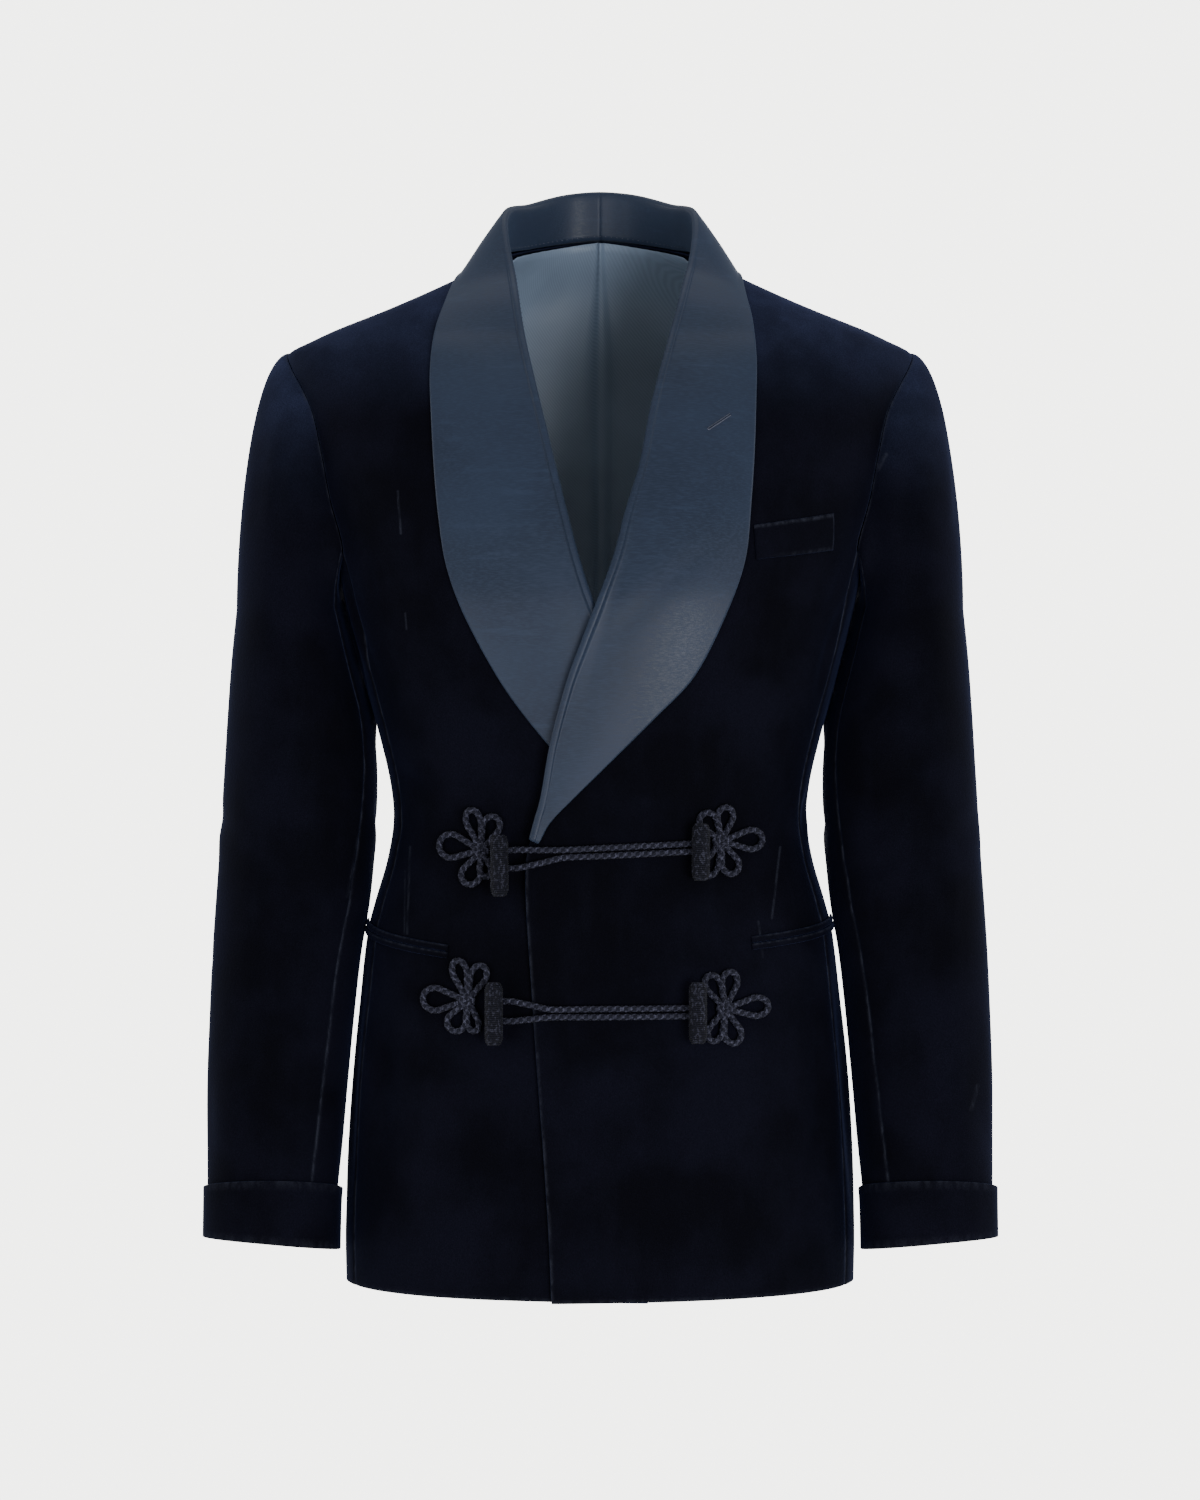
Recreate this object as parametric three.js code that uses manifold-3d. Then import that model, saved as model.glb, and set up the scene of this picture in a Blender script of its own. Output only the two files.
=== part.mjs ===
// Velvet smoking jacket, filled out as if worn, with a satin shawl collar and two cord frogs.
// Units are millimetres. +Z is up, -Y is the front and +X is the wearer's left.
// The origin lies at the base of the neck, level with the points where shoulder and neck meet.
import * as THREE from "three";
import { mergeVertices } from "three/addons/utils/BufferGeometryUtils.js";
import Module from "manifold-3d";

const wasm = await Module();
wasm.setup();

// Driving dimensions
const VELVET = 2;
const SATIN = 2;
const LINING = 1;
const SQUARENESS = 2.35;
const SEAM_GAP = 0.3;
const LAY_GAP = 0.9;
const TRIM_GAP = 0.6;
const HEM = -749;
const FRONT_CORNER = -753;
const BREAK = -429;
const NECK_POINT = -4;
const SHOULDER_NECK = -6;
const BACK_NECK = 15;
const NECK_BOW = 4;
const NECK_BOW_SHARPNESS = 12;
const FRONT_SEAM = 68.4;
const BACK_SEAM = 120.3;
const FORE_SEAM = 150;
const HIND_SEAM = -135;
const BICEPS = -262;
const SLEEVE_END = -716;
const SLEEVE_SQUARENESS = 2.15;
const CORD_RADIUS = 2.5;
const TOGGLE_RADIUS = 6.5;
const HUB_RADIUS = 7;
const HUB_RISE = 2.7;
const LOOP_LIFT = 4.6;
const TOGGLE_LIFT = LOOP_LIFT + CORD_RADIUS + SEAM_GAP + TOGGLE_RADIUS;
const JET_WIDTH = 4.4;
const JET_GAP = 0.6;
const JET_THICKNESS = 1.6;
const WELT_THICKNESS = 1.8;

// The left front lies above the torso and the right one below it, more so under the lapel.
// Both come back to the torso towards the side and towards the shoulder.
const LAP_OVER = 1.5;
const LAP_UNDER = -2.6;
const LAP_UNDER_LAPEL = -6.2;
const LAP_FADE_X = [40, 125];
const LAP_FADE_Z = [-300, -120];
const LAP_LAPEL_Z = [-490, -450];

// Where the fronts end at the lapel's fold and at the neck.
const FOLD_INSET = 2.9;
const NECK_X = 71.5;

// The collar's fold and seam lie above the front by these heights, on the lapel and at the neck.
const FOLD_LIFT = 3.4;
const FOLD_LIFT_NECK = 5.6;
const SEAM_LIFT = -1;
const SEAM_LIFT_NECK = 1.8;
const STAND_RISE = 1.9;
const ROLL = 1.9;
const ROLL_DROP = 1.6;

// The sleeve starts inside the armhole and stands clear of the side panel under the arm.
const ARMHOLE_INSET = 1;
const HEAD_CLEAR = 0.2;
const UNDERARM_CLEAR = 1.5;
const ARMHOLE_CENTRE = [93, -160];

// The way the sleeve cap leaves the armhole, and how steeply it falls into the arm.
const CAP_OUT = 42;
const CAP_OUT_AT_TIP = 33;
const CAP_FORWARD = 40;
const CAP_UP_AT_TIP = 10;
const CAP_DOWN_UNDER = 35;
const CAP_DOWN_AT_SIDES = 45;
const CAP_FALL = 1.05;

// The back lining lies inside the back, lower and narrower at the neck.
const LINING_INSET = 3.4;
const LINING_NECK_SCOOP = 21;
const LINING_NECK_WIDTH = 0.86;
const LINING_ROWS = [-722, -635, -530, -448, -416, -380, -335, -285, -235, -185, -135, -90, -50, -24, -6.6];
const LINING_ANGLES = [126, 140, 155, 170, 177.4, 179.2, 180.4, 181.6, 190, 205, 220, 234];
const LINING_PLEAT = [0, 0, 0, 0, 0, 2.8, 3, 0, 0, 0, 0, 0];

// Rows and columns of the cloth panels. Rows are shared, so that seams run side by side.
const LOWER_ROWS = [HEM, -690, -635, -580, -530, -485, -448, -416, -380, -335, -285, -247];
const SHOULDER_ROWS = [-66, -57, -45, -33, -22, -13, SHOULDER_NECK];
const CAP_STEPS = [0, 0.09, 0.24, 0.44, 0.7];
const ARM_ROWS = [BICEPS, -305, -345, -378, -412, -450, -500, -560, -620, -675, SLEEVE_END];
const FRONT_COLUMNS = 9;
const SIDE_COLUMNS = 5;
const BACK_COLUMNS = 8;
const TOP_SLEEVE_COLUMNS = 18;
const UNDER_SLEEVE_COLUMNS = 5;
const CUFF_COLUMNS = 24;
const POCKET_COLUMNS = 9;
const WELT_COLUMNS = 5;
const COLLAR_ROWS_AT_NECK = 8;
const COLLAR_NECK_START = 0.444;
const COLLAR_FALL_SHARES = [0.12, 0.32, 0.55, 0.78, 1];
const PETAL_STEPS = 9;
const PETAL_SIDES = 4;
const LOOP_STEPS = 34;
const LOOP_SIDES = 5;
const TOGGLE_SIDES = 10;
const WELD = 1e-3;

// The torso is a stack of squared ovals. Depths are measured from the oval's own centre line.
const TORSO = table(
  ["height", "halfWidth", "front", "back", "centre"],
  [
    [-760, 184.3, 133, 128, -2],
    [-720, 185.2, 132, 127, -2],
    [-693, 184.7, 130, 126, -1],
    [-650, 182.8, 127, 123.5, 0],
    [-591, 178.8, 123, 118.5, 0],
    [-547, 174.5, 120, 113, 0],
    [-496, 169, 115, 104.5, 0],
    [-474, 163.5, 113.5, 101, 0],
    [-445, 155, 111, 97, 0],
    [-416, 150.4, 110, 95, 0],
    [-390, 152.5, 111.5, 95.5, 0],
    [-359, 159.5, 115, 99, 0],
    [-309, 173, 120, 108, 0],
    [-262, 184.7, 122.5, 115, 0],
    [-235, 190.5, 121.5, 118, 1],
    [-203, 200, 117.5, 120, 2],
    [-178, 207, 112, 119.5, 3.5],
    [-150, 214, 104, 117.5, 5],
    [-120, 221, 93, 113.5, 6.5],
    [-100, 226, 84, 109.5, 8],
    [-85, 229, 76, 106, 9],
    [-75, 227, 70, 103, 10],
    [-66, 210, 64, 100.5, 10.5],
    [-58, 193, 59.5, 98.5, 11],
    [-44, 158, 51, 95, 11.5],
    [-30, 126, 41, 91.5, 12.5],
    [-15, 95, 30, 86.5, 13.5],
    [0, 70, 20, 79, 14],
    [16, 50, 12, 71, 14],
  ],
);

// The armhole runs round the sleeve's turn: 0 at the shoulder tip, 90 in front, 180 under the arm.
const ARMHOLE = table(
  ["turn", "angle", "height"],
  [
    [-60, 119.5, -115],
    [-30, 107, -87],
    [0, 90, -75],
    [30, 76, -87],
    [60, 67, -115],
    [90, 66, -150],
    [120, 67.3, -185],
    [150, FRONT_SEAM, -222],
    [165, 80, -238],
    [180, 94, -243],
    [195, 107, -239],
    [210, 115.5, -229],
    [225, BACK_SEAM, -212],
    [240, 121, -190],
    [270, 121, -155],
    [300, 119.5, -115],
    [330, 107, -87],
    [360, 90, -75],
  ],
);

// The front edge below the break of the lapel, on the side that laps over.
const FRONT_EDGE = table(
  ["height", "x"],
  [
    [FRONT_CORNER, -33.5],
    [-706, -35.5],
    [-649, -39.3],
    [-593, -43.6],
    [-512, -49.3],
    [-480, -51.4],
    [-451, -52],
    [BREAK, -50.5],
  ],
);

// Lapel rows from the break up to the shoulder, as the fold and the outer edge seen from the front.
// The x of both sides counts away from the middle, towards the lapel's own shoulder.
const LAPEL_COLUMNS = ["row", "foldX", "foldZ", "edgeX", "edgeZ"];
const LAPEL_OVER = table(LAPEL_COLUMNS, [
  [0, -50, -429, -43, -431],
  [1, -46, -414, -35, -416],
  [2, -41.5, -397, -18, -398],
  [3, -35, -360, 6, -374],
  [4, -24.5, -320, 38, -342],
  [5, -14.5, -292, 66, -312],
  [6, -4, -265, 88, -269],
  [7, 9, -229.5, 101.5, -231],
  [8, 17.5, -197, 106, -192],
  [9, 27.5, -163.5, 109, -152],
  [10, 35.5, -122.5, 110.5, -118],
  [11, 44.5, -87, 111.5, -86],
  [12, 54.5, -50, 109.5, -57],
  [13, 62, -20, 105, -35],
]);
const LAPEL_UNDER = table(LAPEL_COLUMNS, [
  [0, -50, -429, -43, -432],
  [1, -46, -414, -33, -423],
  [2, -40, -397, -14, -408],
  [3, -31, -360, 12, -385],
  [4, -20, -322, 38, -360],
  [5, -8, -290, 68, -321],
  [6, 5, -259, 94, -273],
  [7, 14.5, -229.5, 107.5, -236],
  [8, 21.5, -203, 113.5, -200],
  [9, 30.5, -167, 117, -165],
  [10, 39, -131.5, 119.5, -128],
  [11, 47.5, -96, 121, -94],
  [12, 54.5, -64, 118, -63],
  [13, 60.5, -24, 109, -34],
]);
const LAPEL_LAST_ROW = 13;
const LAPEL_ROWS = [0, 1, 2, 3, 4, 5, 6, 7, 8, 9, 10, 11, 11.5, 12, 12.5, LAPEL_LAST_ROW];

// Sleeve rings of the wearer's left arm, from the armpit down.
const SLEEVE = table(
  ["height", "outer", "inner", "centreY", "halfDepth", "frontRise", "outerRise", "foreSeam"],
  [
    [-716, 283.7, 190.9, -36, 45, 3.5, 4.5, 128],
    [-685, 283.6, 190, -32.5, 46.5, 7, 2, 129],
    [-650, 284, 186.5, -28, 48.5, 7, 0, 130.5],
    [-600, 284.3, 182.3, -22, 51.5, 5.5, 0, 133],
    [-550, 283, 177.7, -16.5, 54, 4, 0, 135],
    [-510, 281.5, 173.2, -12, 56, 2, 0, 137],
    [-475, 279.5, 167.5, -8, 58, 1, 0, 139],
    [-440, 277.3, 164.2, -4, 60, 0, 0, 142],
    [-405, 275.4, 162.6, -1, 62.5, 0, 0, 146],
    [-372, 273.6, 163, 2, 65, 0, 0, 149],
    [-340, 271.8, 167, 4, 67, 0, 0, FORE_SEAM],
    [-300, 269, 177.4, 6, 70, 0, 0, FORE_SEAM],
    [-262, 265.3, 187.2, 8, 72, 0, 0, FORE_SEAM],
  ],
);

// Petals of the four cord rosettes: the way to each petal's tip, across and up, and its half width.
const ROSETTES = [
  {
    name: "rosette_upper_right",
    centre: [-83.8, -436.2],
    petals: [
      [-31.4, 4.3, 8.5],
      [-8.5, 31, 5],
      [9.8, 26.2, 6],
      [-11.3, -26, 6.5],
      [4, -21, 4],
    ],
  },
  {
    name: "rosette_lower_right",
    centre: [-92.8, -542.2],
    petals: [
      [-33.7, 0.7, 8],
      [-8.4, 30.3, 5],
      [11.3, 26.8, 5.5],
      [-11.9, -23.2, 6.5],
      [5.6, -23.8, 4],
    ],
  },
  {
    name: "rosette_upper_left",
    centre: [84.5, -429.8],
    petals: [
      [-14, 21.8, 6],
      [4.3, 26.8, 5.5],
      [31.7, 1.4, 7],
      [9.9, -25.4, 6],
      [-11.2, -26.8, 5],
    ],
  },
  {
    name: "rosette_lower_left",
    centre: [87.2, -547.8],
    petals: [
      [-12.7, 25.3, 5.5],
      [4.9, 28.1, 5.5],
      [33, 1.4, 6.5],
      [8.1, -26.7, 6],
      [-10.6, -24.6, 5],
    ],
  },
];

const TOGGLES = [
  { name: "toggle_upper_right", x: -67.6, z: -447.8, length: 43 },
  { name: "toggle_lower_right", x: -71.7, z: -551.6, length: 44 },
  { name: "toggle_upper_left", x: 67.6, z: -437.9, length: 40 },
  { name: "toggle_lower_left", x: 66.1, z: -550.9, length: 43 },
];

// The cord loops run from under the left toggle across the front edge and round the right toggle.
const LOOPS = [
  {
    name: "loop_upper",
    end: { x: 67, z: -434 },
    merge: { x: -26, z: -438.6 },
    round: { x: -65, z: -442.5, halfWidth: 6.5 },
  },
  {
    name: "loop_lower",
    end: { x: 66, z: -549.9 },
    merge: { x: -35, z: -550.6 },
    round: { x: -69, z: -549.2, halfWidth: 7 },
  },
];

const POCKETS = [
  { side: "right", inner: { angle: -37, z: -508 }, outer: { angle: -84, z: -492 } },
  { side: "left", inner: { angle: 37, z: -502 }, outer: { angle: 84, z: -489 } },
];

const WELT = {
  innerTop: [108.5, -206],
  outerTop: [166, -196],
  innerBottom: [110, -230],
  outerBottom: [165.5, -222],
};

// Places round a turned-back cuff: outside the sleeve, round its end and a little way up inside.
const CUFF_SECTION = [
  { out: 1, level: "top" },
  { out: 3.3, level: "top" },
  { out: 3.3, level: "bottom" },
  { out: -5, level: "bottom" },
  { out: -5, level: "inside" },
  { out: -3, level: "inside" },
  { out: -3, level: "sole" },
  { out: 1, level: "sole" },
];
const CUFF_LEVELS = {
  top: { height: -681, atFront: 9, atOuter: 0 },
  inside: { height: -700, atFront: 6, atOuter: 2 },
  sole: { height: -718.6, atFront: 3.5, atOuter: 4.5 },
  bottom: { height: -720.8, atFront: 3.5, atOuter: 4.5 },
};

const FINISHES = {
  velvet: { color: 0x0b0d1c, roughness: 0.95, metalness: 0 },
  satin: { color: 0x3f5066, roughness: 0.4, metalness: 0 },
  lining: { color: 0x3e4856, roughness: 0.5, metalness: 0 },
  cord: { color: 0x2b2c3d, roughness: 0.7, metalness: 0 },
};

// A table gives its named columns at any key, on a smooth curve through its rows.
function table(columns, rows) {
  const slope = (i, column) => {
    const before = rows[Math.max(i - 1, 0)];
    const after = rows[Math.min(i + 1, rows.length - 1)];
    return (after[column] - before[column]) / (after[0] - before[0]);
  };
  return (key) => {
    const at = THREE.MathUtils.clamp(key, rows[0][0], rows.at(-1)[0]);
    const found = rows.findIndex((row) => row[0] > at);
    const i = found < 0 ? rows.length - 2 : found - 1;
    const span = rows[i + 1][0] - rows[i][0];
    const t = (at - rows[i][0]) / span;
    const entry = {};
    columns.forEach((name, column) => {
      if (column === 0) return;
      entry[name] = hermite(
        rows[i][column],
        slope(i, column) * span,
        rows[i + 1][column],
        slope(i + 1, column) * span,
        t,
      );
    });
    return entry;
  };
}

function hermite(start, startSlope, end, endSlope, t) {
  const t2 = t * t;
  const t3 = t2 * t;
  const fromEnds = (2 * t3 - 3 * t2 + 1) * start + (3 * t2 - 2 * t3) * end;
  return fromEnds + (t3 - 2 * t2 + t) * startSlope + (t3 - t2) * endSlope;
}

const lerp = THREE.MathUtils.lerp;
const smoothstep = THREE.MathUtils.smoothstep;
const radians = THREE.MathUtils.degToRad;
const vector = (x, y, z) => new THREE.Vector3(x, y, z);
const steps = (count) => Array.from({ length: count + 1 }, (_, i) => i / count);

// A point of the torso: the angle is 0 in front, 90 at the wearer's left side and 180 behind.
function torsoPoint(angle, height) {
  const ring = TORSO(height);
  const across = Math.sin(radians(angle));
  const forward = Math.cos(radians(angle));
  const sum = Math.abs(across) ** SQUARENESS + Math.abs(forward) ** SQUARENESS;
  const reach = sum ** (-1 / SQUARENESS);
  const depth = forward > 0 ? ring.front : ring.back;
  return vector(ring.halfWidth * reach * across, ring.centre - depth * reach * forward, height);
}

// The angle at which the front of the torso is at a given x.
function frontAngle(x, height) {
  const share = Math.min(Math.abs(x) / TORSO(height).halfWidth, 1);
  const rest = (1 - share ** SQUARENESS) ** (1 / SQUARENESS);
  return Math.sign(x) * THREE.MathUtils.radToDeg(Math.atan2(share, rest));
}

function torsoLevel(point) {
  const ring = TORSO(point.z);
  const depth = point.y < ring.centre ? ring.front : ring.back;
  const across = Math.abs(point.x / ring.halfWidth) ** SQUARENESS;
  const along = Math.abs((point.y - ring.centre) / depth) ** SQUARENESS;
  return (across + along) ** (1 / SQUARENESS) - 1;
}

function torsoGradient(point) {
  const step = 0.5;
  const slope = (axis) => {
    const before = point.clone();
    const after = point.clone();
    before[axis] -= step;
    after[axis] += step;
    return (torsoLevel(after) - torsoLevel(before)) / (2 * step);
  };
  return vector(slope("x"), slope("y"), slope("z"));
}

const torsoNormal = (point) => torsoGradient(point).normalize();
const torsoDistance = (point) => torsoLevel(point) / torsoGradient(point).length();

// Moves a point along the torso's normal until it lies at the given height above the torso.
function liftTo(point, height) {
  const moved = point.clone();
  for (let pass = 0; pass < 4; pass += 1) {
    moved.addScaledVector(torsoNormal(moved), height - torsoDistance(moved));
  }
  return moved;
}

// How far a front lies above the torso, so that the left front laps over the right one.
function frontLayer(over, x, height) {
  const middle = 1 - smoothstep(x, ...LAP_FADE_X);
  const below = 1 - smoothstep(height, ...LAP_FADE_Z);
  const lapel = smoothstep(height, ...LAP_LAPEL_Z);
  const full = over ? LAP_OVER : lerp(LAP_UNDER, LAP_UNDER_LAPEL, lapel);
  return full * middle * below;
}

function gridNormals(grid) {
  const last = (list) => list.length - 1;
  return grid.map((row, i) =>
    row.map((_, j) => {
      const up = grid[Math.min(i + 1, last(grid))][j].clone();
      up.sub(grid[Math.max(i - 1, 0)][j]);
      const along = row[Math.min(j + 1, last(row))].clone();
      along.sub(row[Math.max(j - 1, 0)]);
      return along.cross(up).normalize();
    }),
  );
}

const offsetGrid = (grid, normals, distance) =>
  grid.map((row, i) => row.map((p, j) => p.clone().addScaledVector(normals[i][j], distance)));

// Turns a list of triangles the right way out, whichever way they were listed.
function closedGeometry(points, triangles) {
  let volume = 0;
  for (const [a, b, c] of triangles) {
    volume += points[a].dot(points[b].clone().cross(points[c]));
  }
  const outward = volume < 0 ? triangles.map(([a, b, c]) => [a, c, b]) : triangles;
  const geometry = new THREE.BufferGeometry().setFromPoints(points);
  geometry.setIndex(outward.flat());
  geometry.computeVertexNormals();
  return geometry;
}

// A closed wall between two grids of the same size.
function wall(outer, inner) {
  const rows = outer.length;
  const columns = outer[0].length;
  const points = [...outer.flat(), ...inner.flat()];
  const id = (layer, i, j) => layer * rows * columns + i * columns + j;
  const triangles = [];
  const quad = (a, b, c, d) => triangles.push([a, b, c], [a, c, d]);
  for (let i = 0; i < rows - 1; i += 1) {
    for (let j = 0; j < columns - 1; j += 1) {
      quad(id(0, i, j), id(0, i, j + 1), id(0, i + 1, j + 1), id(0, i + 1, j));
      quad(id(1, i, j), id(1, i + 1, j), id(1, i + 1, j + 1), id(1, i, j + 1));
    }
  }
  const rim = [];
  for (let j = 0; j < columns - 1; j += 1) rim.push([0, j]);
  for (let i = 0; i < rows - 1; i += 1) rim.push([i, columns - 1]);
  for (let j = columns - 1; j > 0; j -= 1) rim.push([rows - 1, j]);
  for (let i = rows - 1; i > 0; i -= 1) rim.push([i, 0]);
  rim.forEach(([i, j], k) => {
    const [m, n] = rim[(k + 1) % rim.length];
    quad(id(0, m, n), id(0, i, j), id(1, i, j), id(1, m, n));
  });
  return closedGeometry(points, triangles);
}

const flip = (grid, side) => grid.map((row) => row.map((p) => vector(p.x * side, p.y, p.z)));

const group = new THREE.Group();

function addPiece(name, finish, geometry) {
  const mesh = new THREE.Mesh(geometry, new THREE.MeshStandardMaterial(FINISHES[finish]));
  mesh.name = name;
  group.add(mesh);
}

// Turns of the sleeve at which the armhole's edge has its points, from each seam to the tip.
const FRONT_TURNS = steps(10).map((t) => FORE_SEAM * (1 - t));
const BACK_TURNS = steps(9).map((t) => HIND_SEAM * (1 - t));

function armhole(turn) {
  return ARMHOLE(turn < -60 ? turn + 360 : turn);
}

// Angle and height up a panel's outer side: the seam, then the armhole, then the shoulder.
function outerSide(seam, turns) {
  const seamRows = LOWER_ROWS.map((height) => ({ angle: seam, height }));
  const armholeRows = turns.map((turn) => armhole(turn));
  const shoulderRows = SHOULDER_ROWS.map((height) => ({ angle: 90, height }));
  return [...seamRows, ...armholeRows, ...shoulderRows];
}

// Shifts an angle by a distance along the torso.
function shiftAngle(place, distance) {
  const near = torsoPoint(place.angle, place.height);
  const next = torsoPoint(place.angle + 1, place.height);
  return { angle: place.angle + distance / near.distanceTo(next), height: place.height };
}

// How far a level line on the back bows up, between its middle and its outer side.
function neckBow(level, share) {
  const rise = (level - HEM) / (SHOULDER_NECK - HEM);
  return NECK_BOW * rise ** NECK_BOW_SHARPNESS * 4 * share * (1 - share);
}

function panelGrid(innerSide, sideRows, columns, lift, bow = () => 0) {
  return sideRows.map((outer, i) =>
    steps(columns).map((t) => {
      const angle = lerp(innerSide[i].angle, outer.angle, t);
      const height = lerp(innerSide[i].height, outer.height, t) + bow(outer.height, t);
      const point = torsoPoint(angle, height);
      const up = lift(point);
      return Math.abs(up) > 0.01 ? liftTo(point, up) : point;
    }),
  );
}

function panelWall(grid, thickness) {
  const inner = grid.map((row) =>
    row.map((p) => p.clone().addScaledVector(torsoNormal(p), -thickness)),
  );
  return [grid, inner];
}

// The lapel's fold gives the front's inner side above the break.
function foldX(lapel, height) {
  let low = 0;
  let high = LAPEL_LAST_ROW;
  for (let pass = 0; pass < 30; pass += 1) {
    const middle = (low + high) / 2;
    if (lapel(middle).foldZ < height) low = middle;
    else high = middle;
  }
  return lapel(low).foldX;
}

function frontPiece(over) {
  const side = over ? 1 : -1;
  const lapel = over ? LAPEL_OVER : LAPEL_UNDER;
  const topOfFold = lapel(LAPEL_LAST_ROW).foldZ;
  const outer = outerSide(FRONT_SEAM, FRONT_TURNS).map((p) => shiftAngle(p, -SEAM_GAP / 2));
  const inner = outer.map(({ height }, i) => {
    const level = i === 0 ? FRONT_CORNER : height;
    if (level < BREAK) return { angle: frontAngle(FRONT_EDGE(level).x, level), height: level };
    const rise = THREE.MathUtils.clamp((level - topOfFold) / (SHOULDER_NECK - topOfFold), 0, 1);
    const x = lerp(foldX(lapel, Math.min(level, topOfFold)), NECK_X, rise) + FOLD_INSET;
    return { angle: frontAngle(x, level), height: level };
  });
  const grid = panelGrid(inner, outer, FRONT_COLUMNS, (p) => frontLayer(over, p.x, p.z));
  const [outside, inside] = panelWall(grid, VELVET);
  const name = over ? "front_left" : "front_right";
  addPiece(name, "velvet", wall(flip(outside, side), flip(inside, side)));
}

function sidePiece(side, name) {
  const shares = steps(SIDE_COLUMNS);
  const angles = shares.map((t) => lerp(FRONT_SEAM, BACK_SEAM, t));
  const ends = shares.map((t) => armhole(lerp(FORE_SEAM, HIND_SEAM + 360, t)));
  const placed = (angle, height, column) => {
    const inward = Number(column === 0) - Number(column === SIDE_COLUMNS);
    const moved = shiftAngle({ angle, height }, (inward * SEAM_GAP) / 2);
    return torsoPoint(moved.angle, moved.height);
  };
  const rows = LOWER_ROWS.slice(0, -2).map((height) => angles.map((angle, j) => placed(angle, height, j)));
  const top = ends.map(({ angle, height }, j) => placed(angle, height, j));
  const before = angles.map((angle, j) => placed(angle, lerp(rows.at(-1)[j].z, top[j].z, 0.5), j));
  const [outside, inside] = panelWall([...rows, before, top], VELVET);
  addPiece(name, "velvet", wall(flip(outside, side), flip(inside, side)));
}

function backPiece(side, name) {
  const outer = outerSide(BACK_SEAM, BACK_TURNS).map((p) => shiftAngle(p, SEAM_GAP / 2));
  const inner = outer.map(({ height }) => {
    const rise = (height - HEM) / (SHOULDER_NECK - HEM);
    const place = { angle: 180, height: lerp(HEM, BACK_NECK, rise) };
    return shiftAngle(place, -SEAM_GAP / 2);
  });
  const grid = panelGrid(inner, outer, BACK_COLUMNS, () => 0, neckBow);
  const [outside, inside] = panelWall(grid, VELVET);
  addPiece(name, "velvet", wall(flip(outside, side), flip(inside, side)));
}

// The back lining hangs from the collar seam, with a narrow pleat down the middle for ease.
function backLining() {
  const rows = LINING_ROWS.map((height) =>
    LINING_ANGLES.map((angle, j) => {
      const narrowing = lerp(1, LINING_NECK_WIDTH, smoothstep(height, -110, LINING_ROWS.at(-1)));
      const turned = 180 + (angle - 180) * narrowing;
      const nearMiddle = 1 - Math.abs(turned - 180) / 90;
      const scoop = LINING_NECK_SCOOP * smoothstep(height, -150, LINING_ROWS.at(-1));
      const level = height + nearMiddle * scoop + neckBow(height, nearMiddle);
      return liftTo(torsoPoint(turned, level), -LINING_INSET - LINING_PLEAT[j]);
    }),
  );
  const inside = rows.map((row) =>
    row.map((p) => p.clone().addScaledVector(torsoNormal(p), -LINING)),
  );
  addPiece("back_lining", "lining", wall(rows, inside));
}

// Collar and lapel are one strip. Each row has the seam, the fold and the outer edge.
const NECK_ROWS = [
  { seam: [90, NECK_POINT], stand: 30, lean: 6, edge: [90, -17] },
  { seam: [122, 5.1], stand: 32, lean: 4.5, edge: [118, -12.5] },
  { seam: [152, 12.3], stand: 34.3, lean: 4.5, edge: [147, -5.5] },
  { seam: [180, BACK_NECK], stand: 34, lean: 5, edge: [180, -3] },
];

function neckRow({ seam, stand, lean, edge }) {
  const base = torsoPoint(...seam);
  const outward = torsoNormal(base).setZ(0).normalize();
  const seamPoint = base.addScaledVector(outward, -VELVET / 2);
  seamPoint.z += STAND_RISE;
  const fold = seamPoint.clone().addScaledVector(outward, -lean);
  fold.z += stand;
  return { seam: seamPoint, fold, edge: liftTo(torsoPoint(...edge), LAY_GAP + SATIN / 2) };
}

function lapelRow(lapel, over, key) {
  const { foldX: x, foldZ, edgeX, edgeZ } = lapel(key);
  const nearNeck = smoothstep(key, LAPEL_LAST_ROW - 2, LAPEL_LAST_ROW);
  const foldAt = x + FOLD_INSET;
  const onTorso = torsoPoint(frontAngle(foldAt, foldZ), foldZ);
  const layer = frontLayer(over, foldAt, foldZ);
  const fold = liftTo(onTorso, layer + lerp(FOLD_LIFT, FOLD_LIFT_NECK, nearNeck));
  const seam = liftTo(onTorso, layer + lerp(SEAM_LIFT, SEAM_LIFT_NECK, nearNeck));
  const edge = torsoPoint(frontAngle(edgeX, edgeZ), edgeZ);
  const edgeLift = frontLayer(over, edgeX, edgeZ) + LAY_GAP + SATIN / 2;
  return { seam, fold, edge: liftTo(edge, edgeLift) };
}

// One row of the strip's middle surface, from the seam over the fold to the outer edge.
function collarSection({ seam, fold, edge }, over) {
  const up = fold.clone().sub(seam);
  const stand = up.length();
  up.normalize();
  const across = edge.clone().sub(fold);
  across.addScaledVector(up, -across.dot(up)).normalize();
  const place = (side, drop) =>
    fold.clone().addScaledVector(across, side * ROLL).addScaledVector(up, -drop);
  const middle = (stand + ROLL_DROP) / 2;
  const points = [place(-1, stand), place(-1, middle), place(-1, ROLL_DROP), fold.clone()];
  const shoulder = place(1, ROLL_DROP / 2);
  points.push(shoulder);
  for (const t of COLLAR_FALL_SHARES) {
    const point = shoulder.clone().lerp(edge, t);
    const least = frontLayer(over, point.x, point.z) + LAY_GAP + SATIN / 2;
    const low = point.z < BACK_NECK && torsoDistance(point) < least;
    points.push(low ? liftTo(point, least) : point);
  }
  return points;
}

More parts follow.
